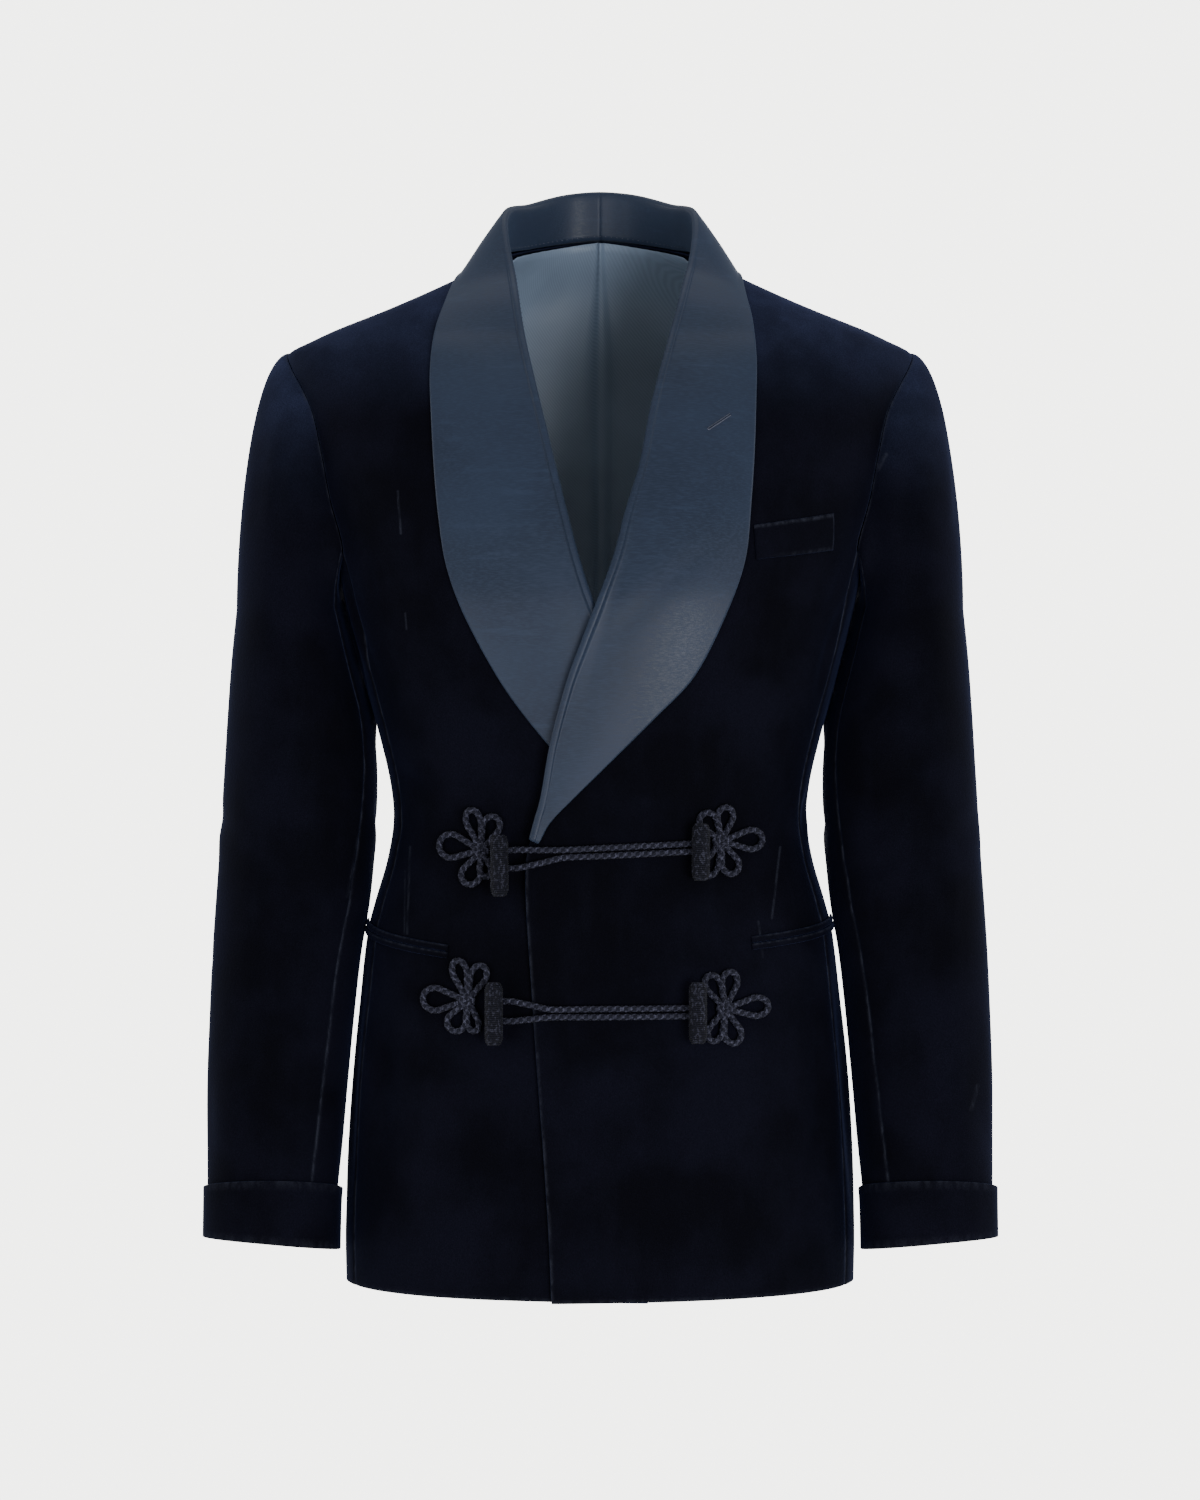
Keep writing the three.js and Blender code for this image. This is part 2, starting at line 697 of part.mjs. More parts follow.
function collarRows(over) {
  const lapel = over ? LAPEL_OVER : LAPEL_UNDER;
  const rows = LAPEL_ROWS.map((row) => lapelRow(lapel, over, row));
  const joined = [...rows.slice(-3), ...NECK_ROWS.map(neckRow)];
  const middle = (joined.length - 1) / joined.length;
  const path = (name) => {
    const points = joined.map((row) => row[name]);
    const beyond = points.at(-2);
    points.push(vector(-beyond.x, beyond.y, beyond.z));
    const curve = new THREE.CatmullRomCurve3(points, false, "centripetal");
    return (t) => curve.getPoint(t * middle);
  };
  const [seam, fold, edge] = ["seam", "fold", "edge"].map(path);
  for (const share of steps(COLLAR_ROWS_AT_NECK)) {
    const t = lerp(COLLAR_NECK_START, 1, share);
    rows.push({ seam: seam(t), fold: fold(t), edge: edge(t) });
  }
  return rows;
}

function collarPiece(over) {
  const side = over ? 1 : -1;
  const rows = collarRows(over);
  const middle = rows.map((row) => collarSection(row, over));
  const normals = gridNormals(middle);
  const outside = offsetGrid(middle, normals, SATIN / 2);
  const inside = offsetGrid(middle, normals, -SATIN / 2);
  for (const grid of [outside, inside]) {
    for (const point of grid.at(-1)) point.x = SEAM_GAP / 2;
  }
  const name = over ? "shawl_collar_left" : "shawl_collar_right";
  addPiece(name, "satin", wall(flip(outside, side), flip(inside, side)));
}

// A ring of the left sleeve below the armpit.
function sleeveRing(height, turn) {
  const row = SLEEVE(height);
  const out = Math.cos(radians(turn));
  const front = Math.sin(radians(turn));
  const sum = Math.abs(out) ** SLEEVE_SQUARENESS + Math.abs(front) ** SLEEVE_SQUARENESS;
  const reach = sum ** (-1 / SLEEVE_SQUARENESS);
  const halfWidth = (row.outer - row.inner) / 2;
  return vector(
    (row.outer + row.inner) / 2 + halfWidth * reach * out,
    row.centreY - row.halfDepth * reach * front,
    height + row.frontRise * front + row.outerRise * out,
  );
}

function sleeveStart(turn) {
  const place = armhole(turn);
  const point = torsoPoint(place.angle, place.height);
  const inward = torsoPoint(...ARMHOLE_CENTRE).sub(point);
  const normal = torsoNormal(point);
  inward.addScaledVector(normal, -inward.dot(normal)).normalize();
  const under = smoothstep(-Math.cos(radians(turn)), 0.2, 1);
  point.addScaledVector(inward, ARMHOLE_INSET);
  return point.addScaledVector(normal, lerp(HEAD_CLEAR, UNDERARM_CLEAR, under));
}

// The sleeve cap swells out of the armhole and turns down into the arm.
function sleeveCap(turn, t) {
  const start = sleeveStart(turn);
  const end = sleeveRing(BICEPS, turn);
  const out = Math.cos(radians(turn));
  const front = Math.sin(radians(turn));
  const drop = start.z - end.z;
  const leave = vector(
    CAP_OUT + CAP_OUT_AT_TIP * out,
    -CAP_FORWARD * front,
    (out > 0 ? CAP_UP_AT_TIP : CAP_DOWN_UNDER) * out - CAP_DOWN_AT_SIDES * Math.abs(front),
  );
  const arrive = vector(0, 0, -drop * CAP_FALL);
  return vector(
    hermite(start.x, leave.x, end.x, arrive.x, t),
    hermite(start.y, leave.y, end.y, arrive.y, t),
    hermite(start.z, leave.z, end.z, arrive.z, t),
  );
}

// The grid has one column more on each side, which only gives the seams their normals.
function sleeveGrid(firstTurn, lastTurn, columns) {
  const turnAt = (height, t) => {
    const fore = SLEEVE(height).foreSeam;
    const first = firstTurn === FORE_SEAM ? fore : firstTurn;
    const last = lastTurn === FORE_SEAM ? fore : lastTurn;
    return lerp(first, last, t);
  };
  const places = Array.from({ length: columns + 3 }, (_, k) => (k - 1) / columns);
  const cap = CAP_STEPS.map((share) =>
    places.map((t) => sleeveCap(turnAt(BICEPS, t), share)),
  );
  const arm = ARM_ROWS.map((height) =>
    places.map((t) => sleeveRing(height, turnAt(height, t))),
  );
  return [...cap, ...arm];
}

function shrinkSides(grid, gap) {
  return grid.map((row) => {
    const moved = row.map((p) => p.clone());
    const pull = (edge, next) => {
      const way = moved[next].clone().sub(moved[edge]).normalize();
      moved[edge].addScaledVector(way, gap / 2);
    };
    pull(0, 1);
    pull(row.length - 1, row.length - 2);
    return moved;
  });
}

function sleevePiece(name, side, firstTurn, lastTurn, columns) {
  const wide = sleeveGrid(firstTurn, lastTurn, columns);
  const crop = (grid) => grid.map((row) => row.slice(1, -1));
  const normals = crop(gridNormals(wide));
  const grid = shrinkSides(crop(wide), 2 * SEAM_GAP);
  const inside = offsetGrid(grid, normals, -VELVET);
  addPiece(name, "velvet", wall(flip(grid, side), flip(inside, side)));
}

function cuffHeight(level, turn) {
  const { height, atFront, atOuter } = CUFF_LEVELS[level];
  return height + atFront * Math.sin(radians(turn)) + atOuter * Math.cos(radians(turn));
}

function cuffPiece(side, name) {
  const points = [];
  for (let k = 0; k < CUFF_COLUMNS; k += 1) {
    const turn = (360 * k) / CUFF_COLUMNS;
    for (const { out, level } of CUFF_SECTION) {
      const height = cuffHeight(level, turn);
      const ring = SLEEVE(height);
      const rise = ring.frontRise * Math.sin(radians(turn)) + ring.outerRise * Math.cos(radians(turn));
      const edge = sleeveRing(height - rise, turn);
      const away = vector(edge.x - (ring.outer + ring.inner) / 2, edge.y - ring.centreY, 0);
      edge.addScaledVector(away.normalize(), out);
      points.push(vector(edge.x * side, edge.y, height));
    }
  }
  const size = CUFF_SECTION.length;
  const triangles = [];
  for (let k = 0; k < CUFF_COLUMNS; k += 1) {
    const next = (k + 1) % CUFF_COLUMNS;
    for (let m = 0; m < size; m += 1) {
      const n = (m + 1) % size;
      const corners = [k * size + m, next * size + m, next * size + n, k * size + n];
      triangles.push([corners[0], corners[1], corners[2]], [corners[0], corners[2], corners[3]]);
    }
  }
  addPiece(name, "velvet", closedGeometry(points, triangles));
}

// A flat strip laid on the torso, given by the four places of its corners.
function laidStrip(name, finish, corners, columns, lift, thickness) {
  const place = (side, t, s) =>
    lerp(lerp(corners.bottomStart[side], corners.bottomEnd[side], t),
      lerp(corners.topStart[side], corners.topEnd[side], t), s);
  const grid = [0, 1].map((s) =>
    steps(columns).map((t) => {
      const point = torsoPoint(place(0, t, s), place(1, t, s));
      return liftTo(point, lift(point));
    }),
  );
  const raised = grid.map((row) =>
    row.map((p) => p.clone().addScaledVector(torsoNormal(p), thickness)),
  );
  addPiece(name, finish, wall(raised, grid));
}

function hipPocket({ side, inner, outer }) {
  const lift = (p) => frontLayer(side === "left", Math.abs(p.x), p.z) + LAY_GAP;
  const strip = (name, low) => {
    const corner = (place, up) => [place.angle, place.z + low + up];
    laidStrip(name, "velvet", {
      bottomStart: corner(inner, 0),
      bottomEnd: corner(outer, 0),
      topStart: corner(inner, JET_WIDTH),
      topEnd: corner(outer, JET_WIDTH),
    }, POCKET_COLUMNS, lift, JET_THICKNESS);
  };
  strip(`hip_pocket_${side}_upper_jet`, JET_GAP / 2);
  strip(`hip_pocket_${side}_lower_jet`, -JET_GAP / 2 - JET_WIDTH);
}

function breastWelt() {
  const corner = ([x, z]) => [frontAngle(x, z), z];
  laidStrip("breast_pocket_welt", "velvet", {
    bottomStart: corner(WELT.innerBottom),
    bottomEnd: corner(WELT.outerBottom),
    topStart: corner(WELT.innerTop),
    topEnd: corner(WELT.outerTop),
  }, WELT_COLUMNS, (p) => frontLayer(true, p.x, p.z) + LAY_GAP, WELT_THICKNESS);
}

// A point above the front at a given x and height, measured from the torso itself.
function aboveFront(x, z, lift) {
  return liftTo(torsoPoint(frontAngle(x, z), z), lift);
}

const cordSection = (sides) =>
  new THREE.Shape(
    Array.from({ length: sides }, (_, k) => {
      const turn = (2 * Math.PI * k) / sides;
      return new THREE.Vector2(CORD_RADIUS * Math.cos(turn), CORD_RADIUS * Math.sin(turn));
    }),
  );

function cordAlong(points, count, sides) {
  const extrudePath = new THREE.CatmullRomCurve3(points, false, "centripetal");
  const settings = { steps: count, extrudePath, bevelEnabled: false };
  const geometry = new THREE.ExtrudeGeometry(cordSection(sides), settings);
  geometry.deleteAttribute("normal");
  geometry.deleteAttribute("uv");
  return mergeVertices(geometry, WELD);
}

function solid(geometry) {
  return new wasm.Manifold(
    new wasm.Mesh({
      numProp: 3,
      vertProperties: new Float32Array(geometry.attributes.position.array),
      triVerts: new Uint32Array(geometry.index.array),
    }),
  );
}

function geometryOf(made) {
  const { vertProperties, triVerts } = made.getMesh();
  const geometry = new THREE.BufferGeometry();
  geometry.setAttribute("position", new THREE.BufferAttribute(vertProperties, 3));
  geometry.setIndex(new THREE.BufferAttribute(triVerts, 1));
  return geometry;
}

// One petal leaves the middle of the rosette, turns at its tip and comes back.
function petal(centre, [across, up, halfWidth], lift) {
  const reach = Math.hypot(across, up) - CORD_RADIUS;
  const way = new THREE.Vector2(across, up).normalize();
  const outline = [
    [3.5, -1],
    [0.42 * reach, -0.6 * halfWidth],
    [0.74 * reach, -halfWidth],
    [0.95 * reach, -0.6 * halfWidth],
    [reach, 0],
    [0.95 * reach, 0.6 * halfWidth],
    [0.74 * reach, halfWidth],
    [0.42 * reach, 0.6 * halfWidth],
    [3.5, 1],
  ];
  const points = outline.map(([along, beside]) => {
    const x = centre[0] + along * way.x - beside * way.y;
    const z = centre[1] + along * way.y + beside * way.x;
    return aboveFront(x, z, lift(x, z));
  });
  return solid(cordAlong(points, PETAL_STEPS, PETAL_SIDES));
}

function rosette({ name, centre, petals }) {
  const over = centre[0] > 0;
  const lift = (x, z) => frontLayer(over, Math.abs(x), z) + TRIM_GAP + CORD_RADIUS;
  const middle = aboveFront(...centre, lift(...centre));
  const hub = new THREE.SphereGeometry(HUB_RADIUS, 8, 4);
  hub.deleteAttribute("normal");
  hub.deleteAttribute("uv");
  const button = mergeVertices(hub, WELD);
  button.scale(1, HUB_RISE / HUB_RADIUS, 1);
  const turn = new THREE.Quaternion().setFromUnitVectors(vector(0, 1, 0), torsoNormal(middle));
  button.applyQuaternion(turn);
  button.translate(middle.x, middle.y, middle.z);
  const made = petals.map((row) => petal(centre, row, lift));
  const joined = made.reduce((sum, next) => sum.add(next), solid(button));
  const [largest] = joined.decompose().sort((a, b) => b.volume() - a.volume());
  addPiece(name, "cord", geometryOf(largest));
}

function toggle({ name, x, z, length }) {
  const half = length / 2;
  const profile = [
    [0, -half],
    [TOGGLE_RADIUS * 0.72, -half],
    [TOGGLE_RADIUS * 0.94, -half + 2],
    [TOGGLE_RADIUS, -half * 0.4],
    [TOGGLE_RADIUS, half * 0.4],
    [TOGGLE_RADIUS * 0.94, half - 2],
    [TOGGLE_RADIUS * 0.72, half],
    [0, half],
  ].map(([radius, along]) => new THREE.Vector2(radius, along));
  const geometry = new THREE.LatheGeometry(profile, TOGGLE_SIDES);
  geometry.deleteAttribute("normal");
  geometry.deleteAttribute("uv");
  const top = aboveFront(x, z + half, TOGGLE_LIFT);
  const bottom = aboveFront(x, z - half, TOGGLE_LIFT);
  const middle = aboveFront(x, z, TOGGLE_LIFT);
  const along = top.sub(bottom).normalize();
  const turn = new THREE.Quaternion().setFromUnitVectors(vector(0, 1, 0), along);
  const merged = mergeVertices(geometry, WELD);
  merged.applyQuaternion(turn);
  merged.translate(middle.x, middle.y, middle.z);
  addPiece(name, "cord", merged);
}

function loop({ name, end, merge, round }) {
  const half = CORD_RADIUS + SEAM_GAP;
  const run = (t, side) => [lerp(end.x, merge.x, t), lerp(end.z, merge.z, t) + side * half];
  const flat = [
    ...[0, 0.25, 0.5, 0.75, 1].map((t) => run(t, 1)),
    [lerp(merge.x, round.x, 0.4), lerp(merge.z + half, round.z + round.halfWidth, 0.5)],
    [round.x + 4, round.z + round.halfWidth],
    [round.x - round.halfWidth * 0.75, round.z + round.halfWidth * 0.7],
    [round.x - round.halfWidth, round.z],
    [round.x - round.halfWidth * 0.75, round.z - round.halfWidth * 0.7],
    [round.x + 4, round.z - round.halfWidth],
    [lerp(merge.x, round.x, 0.4), lerp(merge.z - half, round.z - round.halfWidth, 0.5)],
    ...[1, 0.75, 0.5, 0.25, 0].map((t) => run(t, -1)),
  ];
  const points = flat.map(([x, z]) => aboveFront(x, z, LOOP_LIFT));
  addPiece(name, "cord", cordAlong(points, LOOP_STEPS, LOOP_SIDES));
}

frontPiece(true);
frontPiece(false);
sidePiece(1, "side_left");
sidePiece(-1, "side_right");
backPiece(1, "back_left");
backPiece(-1, "back_right");
backLining();
collarPiece(true);
collarPiece(false);
for (const [side, word] of [[1, "left"], [-1, "right"]]) {
  sleevePiece(`top_sleeve_${word}`, side, HIND_SEAM, FORE_SEAM, TOP_SLEEVE_COLUMNS);
  sleevePiece(`under_sleeve_${word}`, side, FORE_SEAM, HIND_SEAM + 360, UNDER_SLEEVE_COLUMNS);
  cuffPiece(side, `cuff_${word}`);
}
breastWelt();
POCKETS.forEach(hipPocket);
ROSETTES.forEach(rosette);
TOGGLES.forEach(toggle);
LOOPS.forEach(loop);

export default group;
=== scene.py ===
"""The looks of a velvet smoking jacket: cloth shells, braided cord, stitches, materials, stage.

Sizes inside the tables are millimetres in the frame of the CAD model, and meshes are in metres.
+Z is up, -Y the front and +X the wearer's left. Angles round the torso start at the front.
"""

import bpy
import numpy as np
from bpy.props import FloatProperty, FloatVectorProperty, IntProperty, PointerProperty
from bpy.types import Operator, Panel, PropertyGroup
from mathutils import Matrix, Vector
from mathutils.bvhtree import BVHTree


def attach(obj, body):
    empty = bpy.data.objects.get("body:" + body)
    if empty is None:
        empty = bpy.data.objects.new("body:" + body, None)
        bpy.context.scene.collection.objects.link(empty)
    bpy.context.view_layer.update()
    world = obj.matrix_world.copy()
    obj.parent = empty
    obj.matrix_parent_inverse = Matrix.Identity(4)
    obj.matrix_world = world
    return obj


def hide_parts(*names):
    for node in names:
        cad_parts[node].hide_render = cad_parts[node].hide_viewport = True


bl_info = {
    "name": "Velvet Smoking Jacket",
    "version": (1, 0, 0),
    "blender": (4, 5, 0),
    "location": "View3D > Sidebar > Jacket",
    "description": "Builds the cloth, cords and stitches of a velvet smoking jacket",
    "category": "Add Mesh",
}

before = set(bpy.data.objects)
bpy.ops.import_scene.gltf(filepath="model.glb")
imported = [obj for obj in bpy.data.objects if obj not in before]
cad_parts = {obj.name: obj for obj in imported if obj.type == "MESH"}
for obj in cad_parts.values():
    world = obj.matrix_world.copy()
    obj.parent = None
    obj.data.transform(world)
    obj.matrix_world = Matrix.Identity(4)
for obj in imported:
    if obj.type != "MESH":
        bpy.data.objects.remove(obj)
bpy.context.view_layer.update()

MM = 0.001
BODY = "root"
SIDES = ((1, "left"), (-1, "right"))
SIDE_OF_FRONT = {True: SIDES[0], False: SIDES[1]}

# Sizes shared with the CAD model
VELVET = 2
SATIN = 2
LINING = 1
SQUARENESS = 2.35
CORD_GAP = 0.3
LAY_GAP = 0.9
TRIM_GAP = 0.6
HEM = -749
HEM_ROW_ABOVE = -690
FRONT_CORNER = -753
BREAK = -429
NECK_POINT = -4
SHOULDER_NECK = -6
BACK_NECK = 15
NECK_BOW = 4
NECK_BOW_SHARPNESS = 12
FRONT_SEAM = 68.4
BACK_SEAM = 120.3
FORE_SEAM = 150
HIND_SEAM = -135
BICEPS = -262
SLEEVE_END = -716
SLEEVE_SQUARENESS = 2.15
CORD_RADIUS = 2.5
TOGGLE_RADIUS = 6.5
HUB_RADIUS = 7
LOOP_LIFT = 4.6
TOGGLE_LIFT = LOOP_LIFT + CORD_RADIUS + CORD_GAP + TOGGLE_RADIUS
JET_WIDTH = 4.4
JET_GAP = 0.6
JET_THICKNESS = 1.6
WELT_THICKNESS = 1.8
LAP_OVER = 1.5
LAP_UNDER = -2.6
LAP_UNDER_LAPEL = -6.2
LAP_FADE_X = (40, 125)
LAP_FADE_Z = (-300, -120)
LAP_LAPEL_Z = (-490, -450)
FOLD_INSET = 2.9
NECK_X = 71.5
FOLD_LIFT = 3.4
FOLD_LIFT_NECK = 5.6
SEAM_LIFT = -1
SEAM_LIFT_NECK = 1.8
STAND_RISE = 1.9
ROLL = 1.9
ROLL_DROP = 1.6
ARMHOLE_CENTRE = (93, -160)
CAP_OUT = 42
CAP_OUT_AT_TIP = 33
CAP_FORWARD = 40
CAP_UP_AT_TIP = 10
CAP_DOWN_UNDER = 35
CAP_DOWN_AT_SIDES = 45
CAP_FALL = 1.05
LINING_INSET = 3.4
LINING_NECK_SCOOP = 21
LINING_FOOT = -722
LINING_HALF_ANGLE = 54
PLEAT_ANGLES = (177.4, 179.2, 180.4, 181.6)
PLEAT_DEPTHS = (0, 2.8, 3, 0)
UPPER_ARM_TURN = 201
UPPER_ARM_SWELL = 4.3

# Sizes that differ from the CAD model: cloth edges meet with a hair's overlap, the sleeve heads
# sit on the armhole's edge, and the lining reaches further up and round the neck.
SEAM_GAP = -0.1
ARMHOLE_INSET = -0.4
HEAD_CLEAR = 0.0
UNDERARM_CLEAR = 0.3
LINING_TOP = -5.2
LINING_INSET_AT_NECK = 4.4
LINING_NECK_WIDTH = 1.28

# Sizes that only the looks have: points on a grid, rubbed pile with painted sheen at seams and edges,
# painted sheen on the shoulders and sleeves, and creases
SHOULDER_ROWS = 34
FRONT_ARMHOLE_ROWS = 42
BACK_ARMHOLE_ROWS = 40
STRIP_POINTS = 90
FRONT_WIDTH = 215
SIDE_WIDTH = 170
SIDE_LENGTH = 505
BACK_WIDTH = 200
SLEEVE_LENGTH = 454
SEAM_DIP_WIDTH = 1.7
SEAM_WEAR_AND_SHEEN_WIDTH = 1.15
HEM_WEAR_AND_SHEEN = 0.35
HEM_WEAR_AND_SHEEN_WIDTH = 1.6
EDGE_WEAR_AND_SHEEN = 0.55
EDGE_WEAR_AND_SHEEN_WIDTH = 1.2
EDGE_WEAR_AND_SHEEN_FADE = 20
SHOULDER_PAINTED_SHEEN = 0.8
SHOULDER_PAINTED_SHEEN_Z = (-135, -30)
SLEEVE_PAINTED_SHEEN = 0.9
SLEEVE_PAINTED_SHEEN_Z = (-215, -80)
RIDGE_PLACE = 1.8
RIDGE_WIDTH = 1.3
RIDGE_HEIGHT = 0.55
CUFF_ROUNDING = 0.85
PATH_SPACING = 1.2
TOGGLE_TAPER = 0.28
TOGGLE_TAPER_LENGTH = 5
TURN_POINTS = 22
END_POINTS = 60
CORE_SIDES = 16
FLOOR_CORNERS = 96
SENSOR_WIDTH = 36
LOWER_ROWS_TOP = -247
ARMHOLE_TOP = -75
BREAK_BLEND_Z = (BREAK - 14, BREAK + 10)
LINING_WIDENS_FROM = -110
LINING_SCOOP_FROM = -150
LINING_INSET_FROM = -60
LINING_RIPPLE = 0.5
LINING_RIPPLES = 23
LINING_RIPPLE_Z = (-520, -200)
JOINT_KEYS = (12, 12.5, 13)
JOINT_SHARE = 2 / 6
KEYS_ROUND_NECK = 12
COLLAR_BELLY = 1.1
UPPER_ARM_WIDTH = 19
SLEEVE_CREASES_START = (4, 22)
SLEEVE_CREASES_END = (38, 60)
SLEEVE_HEAD_WEAR_AND_SHEEN = 0.7
SLEEVE_HEAD_WEAR_AND_SHEEN_WIDTH = 1.3
SLEEVE_SEAM_SHARE = 0.8
GATHER_DEPTH = 0.16
GATHER_LENGTH = 9
CUFF_BELLY = 0.45
PETAL_FOOT = 3.5
HUB_TURNS = 1.6
HUB_POINTS = 40
HUB_START = 1.2
HUB_RISE = 0.3
STAND_STITCH_HEIGHT = 2.2
STITCH_CLEAR = 0.15


def hermite(start, start_slope, end, end_slope, t):
    """A point between two others that leaves and arrives with the given slopes."""
    t2 = t * t
    t3 = t2 * t
    from_ends = (2 * t3 - 3 * t2 + 1) * start + (3 * t2 - 2 * t3) * end
    return from_ends + (t3 - 2 * t2 + t) * start_slope + (t3 - t2) * end_slope


def table(rows):
    """Gives the columns of the rows at any key, on a smooth curve through them."""
    rows = np.array(rows, float)
    keys, values = rows[:, 0], rows[:, 1:]
    before = np.maximum(np.arange(len(keys)) - 1, 0)
    after = np.minimum(np.arange(len(keys)) + 1, len(keys) - 1)
    slopes = (values[after] - values[before]) / (keys[after] - keys[before])[:, None]

    def at(key):
        key = np.clip(np.asarray(key, float), keys[0], keys[-1])
        i = np.clip(np.searchsorted(keys, key, side="right") - 1, 0, len(keys) - 2)
        span = (keys[i + 1] - keys[i])[..., None]
        t = (key - keys[i])[..., None] / span
        found = hermite(values[i], slopes[i] * span, values[i + 1], slopes[i + 1] * span, t)
        return np.moveaxis(found, -1, 0)

    return at


# The torso's rings: height, half width, front depth, back depth, centre.
TORSO = table([
    (-760, 184.3, 133, 128, -2),
    (-720, 185.2, 132, 127, -2),
    (-693, 184.7, 130, 126, -1),
    (-650, 182.8, 127, 123.5, 0),
    (-591, 178.8, 123, 118.5, 0),
    (-547, 174.5, 120, 113, 0),
    (-496, 169, 115, 104.5, 0),
    (-474, 163.5, 113.5, 101, 0),
    (-445, 155, 111, 97, 0),
    (-416, 150.4, 110, 95, 0),
    (-390, 152.5, 111.5, 95.5, 0),
    (-359, 159.5, 115, 99, 0),
    (-309, 173, 120, 108, 0),
    (-262, 184.7, 122.5, 115, 0),
    (-235, 190.5, 121.5, 118, 1),
    (-203, 200, 117.5, 120, 2),
    (-178, 207, 112, 119.5, 3.5),
    (-150, 214, 104, 117.5, 5),
    (-120, 221, 93, 113.5, 6.5),
    (-100, 226, 84, 109.5, 8),
    (-85, 229, 76, 106, 9),
    (-75, 227, 70, 103, 10),
    (-66, 210, 64, 100.5, 10.5),
    (-58, 193, 59.5, 98.5, 11),
    (-44, 158, 51, 95, 11.5),
    (-30, 126, 41, 91.5, 12.5),
    (-15, 95, 30, 86.5, 13.5),
    (0, 70, 20, 79, 14),
    (16, 50, 12, 71, 14),
])

# The armhole by the sleeve's turn: angle round the torso and height.
ARMHOLE = table([
    (-60, 119.5, -115),
    (-30, 107, -87),
    (0, 90, -75),
    (30, 76, -87),
    (60, 67, -115),
    (90, 66, -150),
    (120, 67.3, -185),
    (150, FRONT_SEAM, -222),
    (165, 80, -238),
    (180, 94, -243),
    (195, 107, -239),
    (210, 115.5, -229),
    (225, BACK_SEAM, -212),
    (240, 121, -190),
    (270, 121, -155),
    (300, 119.5, -115),
    (330, 107, -87),
    (360, 90, -75),
])

# The front edge below the break: height and x.
FRONT_EDGE = table([
    (FRONT_CORNER, -33.5),
    (-706, -35.5),
    (-649, -39.3),
    (-593, -43.6),
    (-512, -49.3),
    (-480, -51.4),
    (-451, -52),
    (BREAK, -50.5),
])

# Lapel rows from the break to the shoulder: fold x and z, outer edge x and z.
LAPELS = {
    True: table([
        (0, -50, -429, -43, -431),
        (1, -46, -414, -35, -416),
        (2, -41.5, -397, -18, -398),
        (3, -35, -360, 6, -374),
        (4, -24.5, -320, 38, -342),
        (5, -14.5, -292, 66, -312),
        (6, -4, -265, 88, -269),
        (7, 9, -229.5, 101.5, -231),
        (8, 17.5, -197, 106, -192),
        (9, 27.5, -163.5, 109, -152),
        (10, 35.5, -122.5, 110.5, -118),
        (11, 44.5, -87, 111.5, -86),
        (12, 54.5, -50, 109.5, -57),
        (13, 62, -20, 105, -35),
    ]),
    False: table([
        (0, -50, -429, -43, -432),
        (1, -46, -414, -33, -423),
        (2, -40, -397, -14, -408),
        (3, -31, -360, 12, -385),
        (4, -20, -322, 38, -360),
        (5, -8, -290, 68, -321),
        (6, 5, -259, 94, -273),
        (7, 14.5, -229.5, 107.5, -236),
        (8, 21.5, -203, 113.5, -200),
        (9, 30.5, -167, 117, -165),
        (10, 39, -131.5, 119.5, -128),
        (11, 47.5, -96, 121, -94),
        (12, 54.5, -64, 118, -63),
        (13, 60.5, -24, 109, -34),
    ]),
}
LAPEL_LAST_ROW = 13

# The sleeve's rings: height, outer x, inner x, centre y, half depth, two rises, fore seam's turn.
SLEEVE = table([
    (-716, 283.7, 190.9, -36, 45, 3.5, 4.5, 128),
    (-685, 283.6, 190, -32.5, 46.5, 7, 2, 129),
    (-650, 284, 186.5, -28, 48.5, 7, 0, 130.5),
    (-600, 284.3, 182.3, -22, 51.5, 5.5, 0, 133),
    (-550, 283, 177.7, -16.5, 54, 4, 0, 135),
    (-510, 281.5, 173.2, -12, 56, 2, 0, 137),
    (-475, 279.5, 167.5, -8, 58, 1, 0, 139),
    (-440, 277.3, 164.2, -4, 60, 0, 0, 142),
    (-405, 275.4, 162.6, -1, 62.5, 0, 0, 146),
    (-372, 273.6, 163, 2, 65, 0, 0, 149),
    (-340, 271.8, 167, 4, 67, 0, 0, FORE_SEAM),
    (-300, 269, 177.4, 6, 70, 0, 0, FORE_SEAM),
    (-262, 265.3, 187.2, 8, 72, 0, 0, FORE_SEAM),
])

# Rosettes: centre, then each petal's tip across and up and its half width.
ROSETTES = {
    "rosette_upper_right": ((-83.8, -436.2), [
        (-31.4, 4.3, 8.5), (-8.5, 31, 5), (9.8, 26.2, 6), (-11.3, -26, 6.5), (4, -21, 4),
    ]),
    "rosette_lower_right": ((-92.8, -542.2), [
        (-33.7, 0.7, 8), (-8.4, 30.3, 5), (11.3, 26.8, 5.5), (-11.9, -23.2, 6.5), (5.6, -23.8, 4),
    ]),
    "rosette_upper_left": ((84.5, -429.8), [
        (-14, 21.8, 6), (4.3, 26.8, 5.5), (31.7, 1.4, 7), (9.9, -25.4, 6), (-11.2, -26.8, 5),
    ]),
    "rosette_lower_left": ((87.2, -547.8), [
        (-12.7, 25.3, 5.5), (4.9, 28.1, 5.5), (33, 1.4, 6.5), (8.1, -26.7, 6), (-10.6, -24.6, 5),
    ]),
}

# Toggles: x, z and length.
TOGGLES = {
    "toggle_upper_right": (-67.6, -447.8, 43),
    "toggle_lower_right": (-71.7, -551.6, 44),
    "toggle_upper_left": (67.6, -437.9, 40),
    "toggle_lower_left": (66.1, -550.9, 43),
}

# Loops: their end, the place where both cords meet, and the turn round the toggle.
LOOPS = {
    "loop_upper": ((67, -434), (-26, -438.6), (-65, -442.5, 6.5)),
    "loop_lower": ((66, -549.9), (-35, -550.6), (-69, -549.2, 7)),
}

# Hip pockets: angle and height of the inner and the outer end.
POCKETS = {
    "right": ((-37, -508), (-84, -492)),
    "left": ((37, -502), (84, -489)),
}

